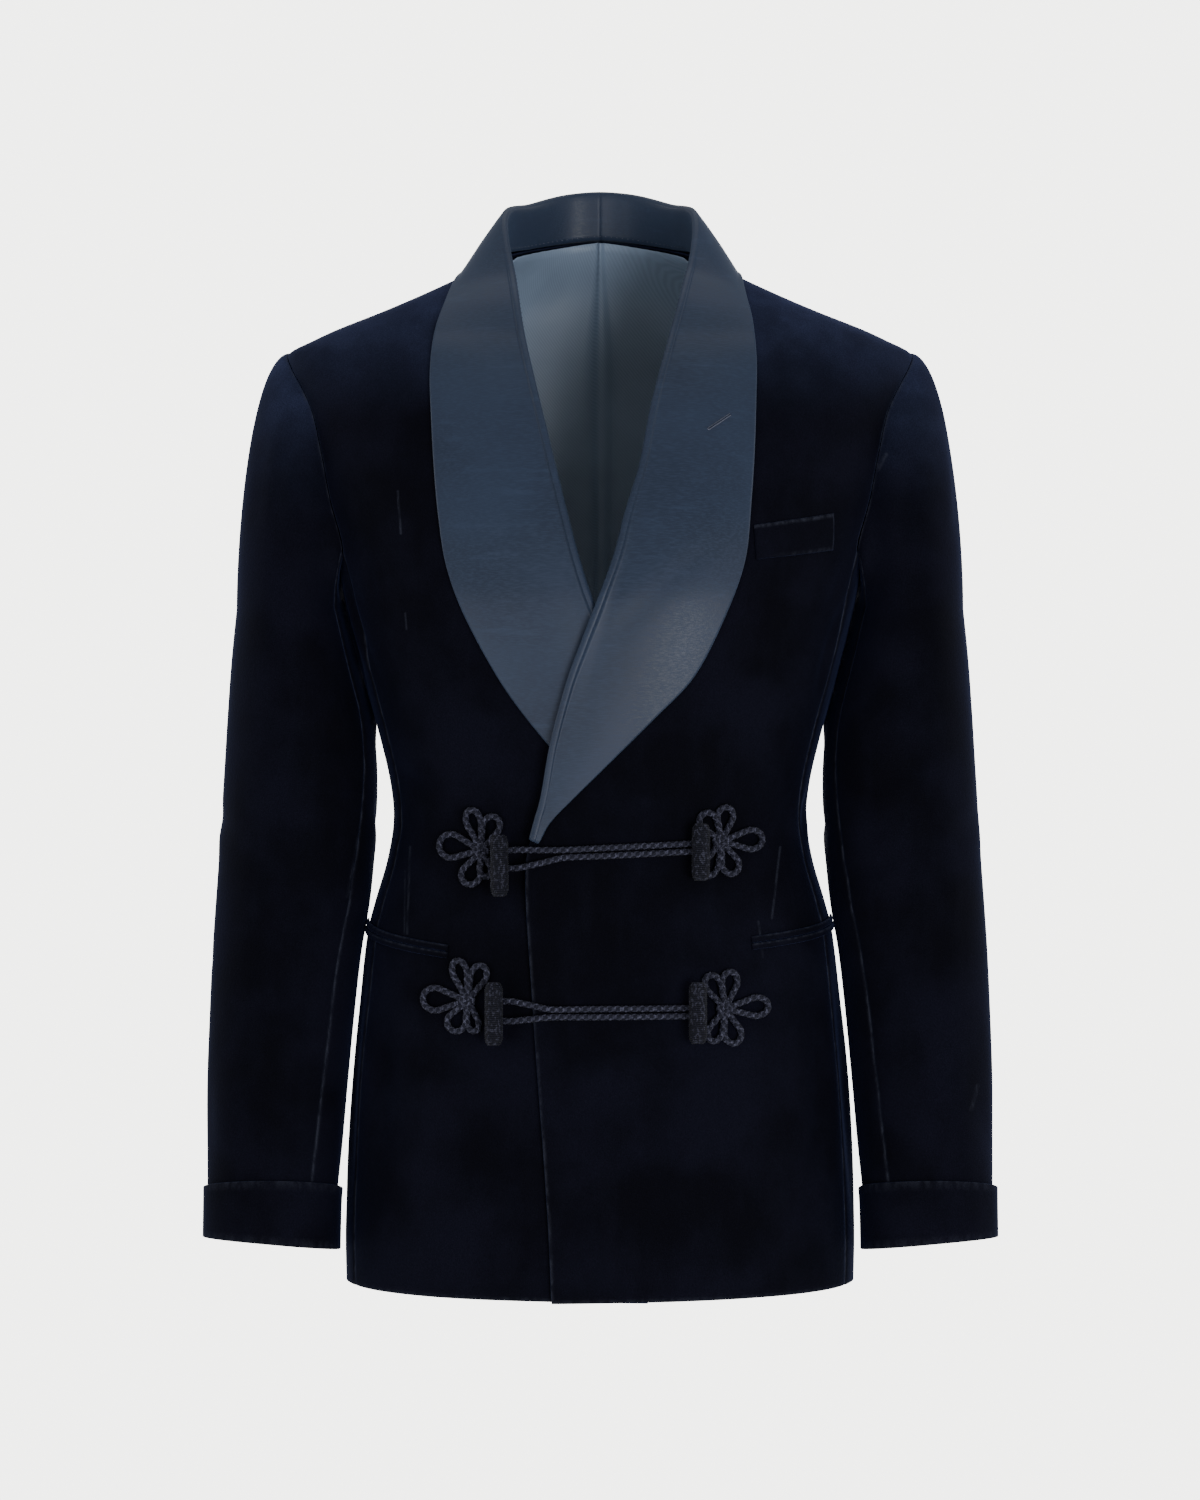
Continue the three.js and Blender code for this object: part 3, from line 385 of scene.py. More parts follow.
# The breast welt's corners seen from the front.
WELT_INNER_TOP = (108.5, -206)
WELT_OUTER_TOP = (166, -196)
WELT_INNER_BOTTOM = (110, -230)
WELT_OUTER_BOTTOM = (165.5, -222)

# The cuff's section: how far out, and which level.
CUFF_SECTION = (
    (1, "top"), (3.3, "top"), (3.3, "bottom"), (-5, "bottom"),
    (-5, "inside"), (-3, "inside"), (-3, "sole"), (1, "sole"),
)

# Cuff levels: height, then its rise at the front and at the outer side.
CUFF_LEVELS = {
    "top": (-681, 9, 0),
    "inside": (-700, 6, 2),
    "sole": (-718.6, 3.5, 4.5),
    "bottom": (-720.8, 3.5, 4.5),
}

# The collar behind the neck: seam angle and height, stand, lean, edge angle and height.
NECK_ROWS = (
    (90, NECK_POINT, 30, 6, 90, -17),
    (122, 5.1, 32, 4.5, 118, -12.5),
    (152, 12.3, 34.3, 4.5, 147, -5.5),
    (180, BACK_NECK, 34, 5, 180, -3),
)

# Each crease has its start u and v, end u and v, bend, width and depth, all in millimetres.
# Creases of each side's panels: u is the angle round the torso times this scale, v the height.
TORSO_SCALE = 3.1
TORSO_CREASES = {
    1: [
        (205, -205, 168, -268, 9, 7, -2.2),
        (222, -232, 196, -330, -12, 9, -2.0),
        (258, -240, 250, -345, 8, 8, -1.6),
        (205, -392, 160, -408, 5, 8, -1.6),
        (262, -400, 214, -428, -7, 9, -1.9),
        (330, -398, 282, -412, 6, 8, -1.5),
        (172, -520, 158, -690, 10, 16, -2.0),
        (236, -505, 246, -715, -9, 18, -2.4),
        (300, -480, 318, -700, 12, 19, -2.6),
        (385, -450, 392, -560, 6, 14, -1.6),
        (402, -180, 368, -262, -10, 12, -1.9),
        (440, -120, 398, -168, 8, 13, -1.3),
        (470, -418, 398, -432, 8, 10, -1.7),
        (520, -452, 452, -444, -6, 9, -1.2),
        (470, -560, 480, -735, -7, 20, -2.2),
    ],
    -1: [
        (203, -212, 172, -262, -8, 6, -1.9),
        (218, -226, 186, -318, 13, 8, -2.3),
        (262, -246, 246, -330, -6, 9, -1.8),
        (212, -386, 152, -398, -6, 8, -1.8),
        (252, -412, 205, -420, 6, 7, -1.4),
        (338, -404, 270, -426, -8, 10, -1.8),
        (180, -535, 172, -700, -8, 17, -2.2),
        (228, -500, 222, -690, 11, 15, -1.9),
        (306, -500, 300, -728, -12, 20, -2.5),
        (380, -470, 398, -610, 8, 15, -1.9),
        (398, -172, 360, -240, 9, 11, -2.1),
        (446, -110, 410, -172, -7, 12, -1.2),
        (462, -408, 392, -438, -9, 11, -1.9),
        (528, -436, 470, -452, 5, 9, -1.1),
        (480, -575, 468, -725, 8, 18, -1.9),
    ],
}

# Creases of each sleeve. u is the sleeve's turn times this scale, v the height.
SLEEVE_SCALE = 0.95
SLEEVE_CREASES = {
    1: [
        (58, -150, 92, -236, 8, 8, -2.2),
        (20, -120, 34, -214, -7, 9, -1.5),
        (120, -262, 60, -300, 7, 7, -1.7),
        (136, -330, 82, -352, -5, 7, -2.0),
        (140, -392, 66, -366, 8, 8, -2.3),
        (134, -428, 92, -446, 6, 6, -1.8),
        (142, -470, 70, -442, -7, 7, -2.0),
        (60, -420, 6, -402, 6, 9, -1.5),
        (2, -500, -44, -474, -7, 8, -1.7),
        (-18, -372, -84, -392, 8, 9, -1.8),
        (-60, -440, -120, -418, -6, 8, -1.6),
        (118, -560, 84, -632, -9, 9, -1.5),
        (40, -560, 22, -660, 9, 12, -1.4),
        (-30, -590, -52, -676, -7, 11, -1.3),
        (-70, -190, -104, -268, 8, 10, -2.0),
        (196, -300, 160, -330, 5, 7, -1.5),
        (200, -410, 158, -436, -6, 7, -1.8),
    ],
    -1: [
        (62, -142, 84, -228, -8, 8, -2.0),
        (26, -128, 48, -206, 6, 8, -1.3),
        (128, -270, 74, -288, -6, 7, -1.9),
        (138, -318, 96, -346, 6, 6, -1.7),
        (142, -372, 60, -352, -9, 9, -2.4),
        (130, -412, 100, -432, 5, 6, -1.6),
        (140, -452, 78, -470, 7, 7, -2.1),
        (52, -442, -6, -412, -8, 9, -1.8),
        (10, -522, -30, -486, 7, 9, -1.4),
        (-24, -352, -92, -380, -7, 9, -1.9),
        (-54, -452, -112, -432, 6, 8, -1.4),
        (112, -540, 98, -620, 8, 10, -1.6),
        (34, -580, 30, -668, -8, 11, -1.2),
        (-36, -566, -40, -660, 8, 12, -1.5),
        (-66, -200, -112, -252, -7, 9, -1.8),
        (198, -312, 156, -322, -5, 7, -1.6),
        (196, -424, 160, -402, 6, 7, -1.7),
    ],
}

# Soft troughs along the lapels. u runs from the fold to the edge as a share, v is the row.
LAPEL_CREASES = {
    1: [(0.2, 5.2, 0.75, 7.4, 0.1, 0.12, -0.5), (0.3, 9.2, 0.8, 10.6, -0.1, 0.1, -0.4)],
    -1: [(0.25, 4.6, 0.7, 6.2, -0.1, 0.1, -0.45), (0.2, 8.4, 0.85, 9.6, 0.12, 0.11, -0.5)],
}

# Lines where the pile is worn or pressed, with painted sheen where light catches it along edges,
# seen from the front: start x and z, end x and z, half width and strength.
FRONT_LINES = [
    (-144, -181, -141.5, -211, 0.9, 0.5),
    (-138.5, -268, -137.6, -279, 0.8, 0.35),
    (-136.2, -434.5, -137.6, -496, 0.9, 0.34),
    (-139.8, -452, -139.6, -502, 0.7, 0.24),
    (128.8, -434.5, 122.3, -484.5, 0.9, 0.38),
    (112.6, -487, 115.6, -512, 0.9, 0.34),
]
SLEEVE_LINES = [
    (-170.5, -409, -181.5, -470, 1.3, 0.3),
    (-177, -455, -187, -552, 1.5, 0.3),
    (-173, -447, -174.5, -487, 1.0, 0.25),
    (266, -622, 271, -606, 1.6, 0.3),
    (200, -163, 206, -152, 1.6, 0.5),
]

# The lapel's buttonhole seen from the front: inner end and outer end, x and z.
BUTTONHOLE = ((77.2, -137), (92.5, -126.5))


def lerp(a, b, t):
    return a + (b - a) * t


def bell(distance, width):
    """One at no distance, and next to nothing from two widths on."""
    return np.exp(-((distance / width) ** 2))


def compass(turn):
    """How far out and how far to the front a turn round a sleeve points."""
    return np.cos(np.radians(turn)), np.sin(np.radians(turn))


def smoothstep(x, low, high):
    t = np.clip((x - low) / (high - low), 0, 1)
    return t * t * (3 - 2 * t)


def squared(across, forward, power):
    """How far a squared oval of half size one reaches in a direction."""
    return (np.abs(across) ** power + np.abs(forward) ** power) ** (-1 / power)


def torso_point(angle, height):
    angle, height = np.broadcast_arrays(np.asarray(angle, float), np.asarray(height, float))
    half, front, back, centre = TORSO(height)
    across, forward = np.sin(np.radians(angle)), np.cos(np.radians(angle))
    reach = squared(across, forward, SQUARENESS)
    depth = np.where(forward > 0, front, back)
    return np.stack([half * reach * across, centre - depth * reach * forward, height], -1)


def front_angle(x, height):
    """The angle at which the front of the torso is at a given x."""
    share = np.minimum(np.abs(x) / TORSO(height)[0], 1)
    rest = (1 - share**SQUARENESS) ** (1 / SQUARENESS)
    return np.sign(x) * np.degrees(np.arctan2(share, rest))


def torso_level(point):
    half, front, back, centre = TORSO(point[..., 2])
    depth = np.where(point[..., 1] < centre, front, back)
    across = np.abs(point[..., 0] / half) ** SQUARENESS
    along = np.abs((point[..., 1] - centre) / depth) ** SQUARENESS
    return (across + along) ** (1 / SQUARENESS) - 1


def torso_gradient(point):
    step = 0.5 * np.eye(3)
    return np.stack([torso_level(point + s) - torso_level(point - s) for s in step], -1)


def unit(vector):
    return vector / np.maximum(np.linalg.norm(vector, axis=-1, keepdims=True), 1e-9)


def torso_normal(point):
    return unit(torso_gradient(point))


def lift_to(point, height):
    """Moves points along the torso's normal until they lie at the given height above it."""
    for _ in range(4):
        gradient = torso_gradient(point)
        size = np.linalg.norm(gradient, axis=-1)
        away = height - torso_level(point) / np.maximum(size, 1e-9)
        point = point + unit(gradient) * away[..., None]
    return point


def torso_distance(point):
    return torso_level(point) / np.linalg.norm(torso_gradient(point), axis=-1)


def front_layer(over, x, height):
    """How far a front lies above the torso, so that the left front laps over the right one."""
    middle = 1 - smoothstep(x, *LAP_FADE_X)
    below = 1 - smoothstep(height, *LAP_FADE_Z)
    under = lerp(LAP_UNDER, LAP_UNDER_LAPEL, smoothstep(height, *LAP_LAPEL_Z))
    return (LAP_OVER if over else under) * middle * below


def above_front(x, z, lift):
    x, z = np.asarray(x, float), np.asarray(z, float)
    return lift_to(torso_point(front_angle(x, z), z), lift)


def grid_normals(grid):
    along = np.gradient(grid, axis=1)
    up = np.gradient(grid, axis=0)
    return unit(np.cross(along, up))


def along_path(points):
    """Lengths along a line or along each row of a grid, from its start."""
    pieces = np.linalg.norm(np.diff(points, axis=-2), axis=-1)
    start = np.zeros(pieces.shape[:-1] + (1,))
    return np.concatenate([start, np.cumsum(pieces, axis=-1)], -1)


def smooth_path(controls):
    """A curve through points that keeps to their spacing, read at shares from 0 to 1."""
    controls = np.asarray(controls, float)
    ends = [2 * controls[0] - controls[1]], [2 * controls[-1] - controls[-2]]
    around = np.concatenate([ends[0], controls, ends[1]])
    roots = np.sqrt(np.linalg.norm(np.diff(around, axis=0), axis=1))

    def at(share):
        place = np.asarray(share, float) * (len(controls) - 1)
        i = np.clip(np.floor(place).astype(int), 0, len(controls) - 2)
        t = (place - i)[..., None]
        p = [around[i + k] for k in range(4)]
        d = [roots[i + k][..., None] for k in range(3)]
        leave = (p[1] - p[0]) / d[0] - (p[2] - p[0]) / (d[0] + d[1]) + (p[2] - p[1]) / d[1]
        arrive = (p[2] - p[1]) / d[1] - (p[3] - p[1]) / (d[1] + d[2]) + (p[3] - p[2]) / d[2]
        return hermite(p[1], leave * d[1], p[2], arrive * d[1], t)

    return at


def even_path(controls, spacing):
    """Evenly spaced points along a smooth curve."""
    at = smooth_path(controls)
    dense = at(np.linspace(0, 1, 400))
    lengths = along_path(dense)
    count = max(int(lengths[-1] / spacing), 4)
    wanted = np.linspace(0, lengths[-1], count + 1)
    return np.stack([np.interp(wanted, lengths, dense[:, k]) for k in range(3)], -1)


def crease_relief(u, v, creases, depth_scale):
    """Troughs with a soft ridge on one side, each fading out at both ends."""
    relief = np.zeros(np.broadcast(u, v).shape)
    for u0, v0, u1, v1, bend, width, depth in creases:
        way = np.array([u1 - u0, v1 - v0], float)
        length = np.linalg.norm(way)
        way /= length
        along = ((u - u0) * way[0] + (v - v0) * way[1]) / length
        beside = -(u - u0) * way[1] + (v - v0) * way[0] - bend * (1 - (2 * along - 1) ** 2)
        inside = np.clip(along, 0, 1)
        fade = np.sin(np.pi * inside) ** 0.8 * (0.75 + 0.25 * np.cos(5 * inside + u0))
        trough = bell(beside, width)
        ridge = bell(beside - RIDGE_PLACE * width, RIDGE_WIDTH * width)
        relief = relief + depth * depth_scale * fade * (trough - RIDGE_HEIGHT * ridge)
    return relief


def clustered(length, step, fine=(0.0, 0.5, 1.1, 1.9, 3.0)):
    """Shares across a panel, close together at both seams and evenly spaced between."""
    count = max(int(length / step), 4)
    inner = np.linspace(fine[-1] + step * 0.8, length - fine[-1] - step * 0.8, count)
    both = np.concatenate([fine, inner, length - np.array(fine)[::-1]])
    return both / length


def wall_faces(rows, columns):
    """Quads of a closed wall: outer sheet, inner sheet and a rim with a middle row."""
    ids = np.arange(rows * columns).reshape(rows, columns)
    a, b = ids[:-1, :-1].ravel(), ids[:-1, 1:].ravel()
    c, d = ids[1:, 1:].ravel(), ids[1:, :-1].ravel()
    inner = rows * columns
    top = np.stack([a, b, c, d], 1)
    bottom = np.stack([a, d, c, b], 1) + inner
    rim = np.concatenate([ids[0, :-1], ids[:-1, -1], ids[-1, :0:-1], ids[:0:-1, 0]])
    after = np.roll(rim, -1)
    middle = 2 * inner + np.arange(len(rim))
    middle_after = np.roll(middle, -1)
    upper = np.stack([after, rim, middle, middle_after], 1)
    lower = np.stack([middle_after, middle, rim + inner, after + inner], 1)
    return np.concatenate([top, bottom, upper, lower]), rim


def signed_volume(points, quads):
    a, b, c, d = (points[quads[:, k]] for k in range(4))
    halves = np.cross(a, b) * c + np.cross(a, c) * d
    return halves.sum()


def wall(outer, inner, worn=None, bloom=None, roundness=0.3):
    """A closed thin wall between two grids, with its rim rounded outwards."""
    rows, columns = outer.shape[:2]
    quads, rim = wall_faces(rows, columns)
    flat_outer, flat_inner = outer.reshape(-1, 3), inner.reshape(-1, 3)
    i, j = np.divmod(rim, columns)
    within = np.clip(i, 1, rows - 2) * columns + np.clip(j, 1, columns - 2)
    middle = (flat_outer[rim] + flat_inner[rim]) / 2
    core = (flat_outer[within] + flat_inner[within]) / 2
    thick = np.linalg.norm(flat_outer[rim] - flat_inner[rim], axis=1, keepdims=True)
    middle = middle + unit(middle - core) * thick * roundness
    points = np.concatenate([flat_outer, flat_inner, middle])
    if signed_volume(points, quads) < 0:
        quads = quads[:, ::-1]
    attributes = {}
    for name, values in (("worn", worn), ("bloom", bloom)):
        if values is not None:
            flat = np.broadcast_to(values, outer.shape[:2]).ravel()
            attributes[name] = np.concatenate([flat, np.zeros(len(flat)), flat[rim]])
    return points, quads, attributes


def mirrored(points, side):
    return points * np.array([side, 1, 1])


def sizes():
    return bpy.context.scene.jacket_sizes


def cloth_step():
    return sizes().cloth_step / MM


def colour_of(name, scale=1.0):
    """One of the jacket's colours, made darker or lighter."""
    return tuple(part * scale for part in getattr(bpy.context.scene.jacket_colours, name))


def placed(name, data):
    """A new object in the scene."""
    piece = bpy.data.objects.new(name, data)
    bpy.context.scene.collection.objects.link(piece)
    return piece


def make_mesh(name, points, faces, material, attributes=None):
    mesh = bpy.data.meshes.new(name)
    mesh.from_pydata((points * MM).tolist(), [], faces.tolist())
    for label, values in (attributes or {}).items():
        layer = mesh.attributes.new(label, "FLOAT", "POINT")
        layer.data.foreach_set("value", np.asarray(values, np.float32))
    mesh.polygons.foreach_set("use_smooth", np.ones(len(mesh.polygons), bool))
    mesh.materials.append(material)
    mesh.update()
    return placed(name, mesh)


def dress(piece, node):
    """Attaches a finished piece to the body and hides the CAD node that it stands for."""
    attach(piece, BODY)
    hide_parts(node)


def make_cloth(node, side, grids, slot, worn=None, bloom=None):
    """Makes a cloth piece from its two grids, for its CAD node."""
    outer, inner = (mirrored(grid, side) for grid in grids)
    points, quads, attributes = wall(outer, inner, worn, bloom)
    piece = make_mesh(node + "_cloth", points, quads, material_for(node, slot), attributes)
    dress(piece, node)
    across = along_path(outer)[:, -1].max() * MM
    down = along_path(np.swapaxes(outer, 0, 1))[:, -1].max() * MM
    return piece


def shift_angle(angle, height, distance):
    """Shifts an angle by a distance along the torso."""
    near, after = torso_point(angle, height), torso_point(angle + 1, height)
    return angle + distance / np.linalg.norm(near - after, axis=-1)


def armhole(turn):
    """The angle and height of the armhole where the sleeve's turn is from -135 to 225."""
    return ARMHOLE(np.where(turn < -60, turn + 360, turn))


def outer_side(seam, turns):
    """Angles and heights up a panel's outer side: the seam, the armhole, then the shoulder."""
    lower = np.concatenate([[0, 1.2, 2.6], np.arange(5, LOWER_ROWS_TOP - HEM, cloth_step())]) + HEM
    arm_angle, arm_height = armhole(turns)
    shoulder = np.linspace(ARMHOLE_TOP, SHOULDER_NECK, SHOULDER_ROWS)[1:]
    angle = np.concatenate([np.full(len(lower), seam), arm_angle, np.full(len(shoulder), 90)])
    return angle, np.concatenate([lower, arm_height, shoulder])


def seam_dip(distance):
    return -sizes().seam_depth / MM * bell(distance, SEAM_DIP_WIDTH)


def hem_wear_and_sheen(distance):
    return HEM_WEAR_AND_SHEEN * bell(distance, HEM_WEAR_AND_SHEEN_WIDTH)


def make_panel(node, side, angle, base, seams, edge, up=0.0):
    """A panel on the torso, its pile sunk along its seams, rubbed light with painted sheen along its
    seams and at its edge, and with painted sheen towards the shoulders.
    """
    depth = sizes().crease_depth
    up = up + crease_relief(np.abs(angle) * TORSO_SCALE, base[..., 2], TORSO_CREASES[side], depth)
    # Rubbed pile along the seams and at the edge is made lighter, partly as painted sheen where light
    # catches the turned pile.
    worn = edge
    for distance in seams:
        up = up + seam_dip(distance)
        worn = np.maximum(worn, bell(distance, SEAM_WEAR_AND_SHEEN_WIDTH))
    outer = lift_to(base, up)
    inner = outer - torso_normal(outer) * VELVET
    # Painted sheen: the pile is made lighter towards the top of the shoulders, where light from above
    # grazes it.
    bloom = smoothstep(outer[..., 2], *SHOULDER_PAINTED_SHEEN_Z) * SHOULDER_PAINTED_SHEEN
    make_cloth(node, side, (outer, inner), "velvet", worn, bloom)


def front_grid(over):
    turns = np.linspace(FORE_SEAM, 0, FRONT_ARMHOLE_ROWS)
    angle_out, height = outer_side(FRONT_SEAM, turns)
    angle_out = shift_angle(angle_out, height, -SEAM_GAP / 2)
    rise = (height - HEM) / (HEM_ROW_ABOVE - HEM)
    low = lerp(FRONT_CORNER, HEM_ROW_ABOVE, rise)
    level = np.where(height < HEM_ROW_ABOVE, low, height)
    rows = np.linspace(0, LAPEL_LAST_ROW, 400)
    fold_x, fold_z = LAPELS[over](rows)[:2]
    top = fold_z[-1]
    to_neck = np.clip((level - top) / (SHOULDER_NECK - top), 0, 1)
    above = lerp(np.interp(level, fold_z, fold_x), NECK_X, to_neck) + FOLD_INSET
    below = FRONT_EDGE(level)[0]
    x = lerp(below, above, smoothstep(level, *BREAK_BLEND_Z))
    angle_in = front_angle(x, level)
    shares = clustered(FRONT_WIDTH, cloth_step())
    angle = lerp(angle_in[:, None], angle_out[:, None], shares)
    return angle, lerp(level[:, None], height[:, None], shares)


def from_row_end(base):
    lengths = along_path(base)
    return lengths[:, -1:] - lengths


def make_front(over):
    side, word = SIDE_OF_FRONT[over]
    angle, height = front_grid(over)
    base = torso_point(angle, height)
    # The front edge below the break and the hem show rubbed pile with painted sheen.
    below_break = 1 - smoothstep(height, BREAK - EDGE_WEAR_AND_SHEEN_FADE, BREAK)
    edge = EDGE_WEAR_AND_SHEEN * bell(along_path(base), EDGE_WEAR_AND_SHEEN_WIDTH) * below_break
    front_wear_and_sheen = np.maximum(edge, hem_wear_and_sheen(height - height[:1]))
    layer = front_layer(over, base[..., 0], height)
    make_panel("front_" + word, side, angle, base, [from_row_end(base)], front_wear_and_sheen, layer)


def make_side(side, word):
    shares = clustered(SIDE_WIDTH, cloth_step())
    _, top = ARMHOLE(lerp(FORE_SEAM, HIND_SEAM + 360, shares))
    rows = np.linspace(0.012, 1, int(SIDE_LENGTH / cloth_step()))
    height = lerp(HEM, top, np.concatenate([[0, 0.0025, 0.006], rows])[:, None])
    place = np.broadcast_to(shares, height.shape)
    angle = lerp(FRONT_SEAM, BACK_SEAM, place)
    angle = shift_angle(angle, height, SEAM_GAP / 2 * (1 - 2 * place))
    base = torso_point(angle, height)
    seams = (along_path(base), from_row_end(base))
    make_panel("side_" + word, side, angle, base, seams, hem_wear_and_sheen(height - HEM))


def neck_bow(level, share):
    """How far a level line on the back bows up between its middle and its outer side."""
    rise = (level - HEM) / (SHOULDER_NECK - HEM)
    return NECK_BOW * rise**NECK_BOW_SHARPNESS * 4 * share * (1 - share)


def make_back(side, word):
    turns = np.linspace(HIND_SEAM, 0, BACK_ARMHOLE_ROWS)
    angle_out, height = outer_side(BACK_SEAM, turns)
    angle_out = shift_angle(angle_out, height, SEAM_GAP / 2)
    level = lerp(HEM, BACK_NECK, (height - HEM) / (SHOULDER_NECK - HEM))
    angle_in = shift_angle(np.full(level.shape, 180.0), level, -SEAM_GAP / 2)
    shares = clustered(BACK_WIDTH, cloth_step())
    angle = lerp(angle_in[:, None], angle_out[:, None], shares)
    heights = lerp(level[:, None], height[:, None], shares) + neck_bow(height[:, None], shares)
    base = torso_point(angle, heights)
    seams = (along_path(base), from_row_end(base))
    make_panel("back_" + word, side, angle, base, seams, hem_wear_and_sheen(heights - HEM))


def make_lining():
    """The back lining hangs inside the back, with a narrow pleat down the middle."""
    height = np.linspace(LINING_FOOT, LINING_TOP, 120)[:, None]
    pleat = np.linspace(PLEAT_ANGLES[0], PLEAT_ANGLES[-1], 9)
    left = np.linspace(180 - LINING_HALF_ANGLE, PLEAT_ANGLES[0], 34)[:-1]
    right = np.linspace(PLEAT_ANGLES[-1], 180 + LINING_HALF_ANGLE, 34)[1:]
    angle = np.concatenate([left, pleat, right])[None, :]
    narrowing = lerp(1, LINING_NECK_WIDTH, smoothstep(height, LINING_WIDENS_FROM, LINING_TOP))
    turned = 180 + (angle - 180) * narrowing
    scoop = LINING_NECK_SCOOP * smoothstep(height, LINING_SCOOP_FROM, LINING_TOP)
    near_middle = 1 - np.abs(turned - 180) / 90
    heights = height + near_middle * scoop + neck_bow(height, near_middle)
    near_neck = smoothstep(height, LINING_INSET_FROM, LINING_TOP)
    inset = lerp(LINING_INSET, LINING_INSET_AT_NECK, near_neck)
    depth = inset + np.interp(angle, PLEAT_ANGLES, PLEAT_DEPTHS)
    ripple = LINING_RIPPLE * np.sin(np.radians(turned) * LINING_RIPPLES)
    ripple = ripple * smoothstep(height, *LINING_RIPPLE_Z)
    base = torso_point(turned, heights)
    outer = lift_to(base, -depth - np.abs(ripple) * 0.5)
    inner = outer - torso_normal(outer) * LINING
    make_cloth("back_lining", 1, (outer, inner), "lining")


def neck_rows():
    rows = []
    for angle, height, stand, lean, edge_angle, edge_height in NECK_ROWS:
        base = torso_point(angle, height)
        outward = unit(torso_normal(base) * np.array([1, 1, 0]))
        seam = base - outward * VELVET / 2 + np.array([0, 0, STAND_RISE])
        fold = seam - outward * lean + np.array([0, 0, stand])
        edge = lift_to(torso_point(edge_angle, edge_height), LAY_GAP + SATIN / 2)
        rows.append((seam, fold, edge))
    return rows


def lapel_lines(over, keys):
    """The seam, fold and edge of the lapel at its rows."""
    x, fold_z, edge_x, edge_z = LAPELS[over](keys)
    near_neck = smoothstep(keys, LAPEL_LAST_ROW - 2, LAPEL_LAST_ROW)
    at = x + FOLD_INSET
    on_torso = torso_point(front_angle(at, fold_z), fold_z)
    layer = front_layer(over, at, fold_z)
    fold = lift_to(on_torso, layer + lerp(FOLD_LIFT, FOLD_LIFT_NECK, near_neck))
    seam = lift_to(on_torso, layer + lerp(SEAM_LIFT, SEAM_LIFT_NECK, near_neck))
    edge = torso_point(front_angle(edge_x, edge_z), edge_z)
    edge = lift_to(edge, front_layer(over, edge_x, edge_z) + LAY_GAP + SATIN / 2)
    return seam, fold, edge


def collar_lines(over):
    """The collar strip's three lines from the break to the centre back."""
    keys = np.concatenate([[0, 0.12, 0.3], np.linspace(0.5, LAPEL_LAST_ROW, 105)])
    lapel = lapel_lines(over, keys)
    joint = lapel_lines(over, np.array(JOINT_KEYS))
    neck = neck_rows()
    lines = []
    share = np.linspace(JOINT_SHARE, 1, 42)[1:]
    for k in range(3):
        controls = np.concatenate([joint[k], [row[k] for row in neck]])
        middle = (len(controls) - 1) / len(controls)
        controls = np.concatenate([controls, [controls[-2] * np.array([-1, 1, 1])]])
        lines.append(np.concatenate([lapel[k], smooth_path(controls)(share * middle)]))
    return lines, np.concatenate([keys, LAPEL_LAST_ROW + (share - JOINT_SHARE) * KEYS_ROUND_NECK])


def collar_grid(over):
    """The collar strip's middle surface: up the stand, over the roll and down the fall."""
    (seam, fold, edge), keys = collar_lines(over)
    up = fold - seam
    stand = np.linalg.norm(up, axis=1, keepdims=True)
    up = up / stand
    across = edge - fold
    across = unit(across - up * (across * up).sum(1, keepdims=True))

    def place(aside, drop):
        return fold + across * aside * ROLL - up * drop

    columns = [place(-1, lerp(stand, ROLL_DROP, t)) for t in np.linspace(0, 1, 9)]
    for turn in np.radians([-60, -30, 0, 30, 60]):
        drop = ROLL_DROP * (1 - np.cos(turn)) * (1 if turn < 0 else 0.5)
        columns.append(place(np.sin(turn), drop))
    shoulder = place(1, ROLL_DROP / 2)
    falls = np.concatenate([np.linspace(0, 0.97, 30), [0.985, 1.0]])
    for t in falls:
        point = lerp(shoulder, edge, t)
        least = front_layer(over, point[:, 0], point[:, 2]) + LAY_GAP + SATIN / 2
        low = (point[:, 2] < BACK_NECK) & (torso_distance(point) < least)
        columns.append(np.where(low[:, None], lift_to(point, least), point))
    return np.stack(columns, 1), keys, len(columns) - len(falls), falls


def make_collar(over):
    side, word = SIDE_OF_FRONT[over]
    middle, keys, first_fall, falls = collar_grid(over)
    normals = grid_normals(middle)
    share = np.concatenate([np.zeros(first_fall), falls])[None, :]
    ripple = crease_relief(share, keys[:, None], LAPEL_CREASES[side], sizes().crease_depth)
    belly = COLLAR_BELLY * np.sin(np.pi * share) * smoothstep(keys, 1, 4)[:, None]
    lift = (ripple + belly * (share > 0))[..., None]
    outer = middle + normals * (SATIN / 2 + lift)
    inner = middle - normals * (SATIN / 2 - lift)
    outer[-1, :, 0] = SEAM_GAP / 2
    inner[-1, :, 0] = SEAM_GAP / 2
    return make_cloth("shawl_collar_" + word, side, (outer, inner), "satin")


def towards_body(turn, height):
    """The back of the upper arm swells behind the body's side, so that no light shows between."""
    place = bell(turn % 360 - UPPER_ARM_TURN, UPPER_ARM_WIDTH)
    window = smoothstep(height, -366, -340) * (1 - smoothstep(height, -262, -244))
    return UPPER_ARM_SWELL * place * window


def sleeve_ring(height, turn):
    outer, inner, centre_y, half_depth, front_rise, outer_rise, _ = SLEEVE(height)
    out, front = compass(turn)
    reach = squared(out, front, SLEEVE_SQUARENESS)
    x = (outer + inner) / 2 + (outer - inner) / 2 * reach * out
    y = centre_y - half_depth * reach * front
    return np.stack([x, y, height + front_rise * front + outer_rise * out], -1)


def sleeve_start(turn):
    point = torso_point(*armhole(turn))
    inward = torso_point(*ARMHOLE_CENTRE) - point
    normal = torso_normal(point)
    inward = unit(inward - normal * (inward * normal).sum(-1, keepdims=True))
    under = smoothstep(-np.cos(np.radians(turn)), 0.2, 1)
    lift = lerp(HEAD_CLEAR, UNDERARM_CLEAR, under)[..., None]
    return point + inward * ARMHOLE_INSET + normal * lift


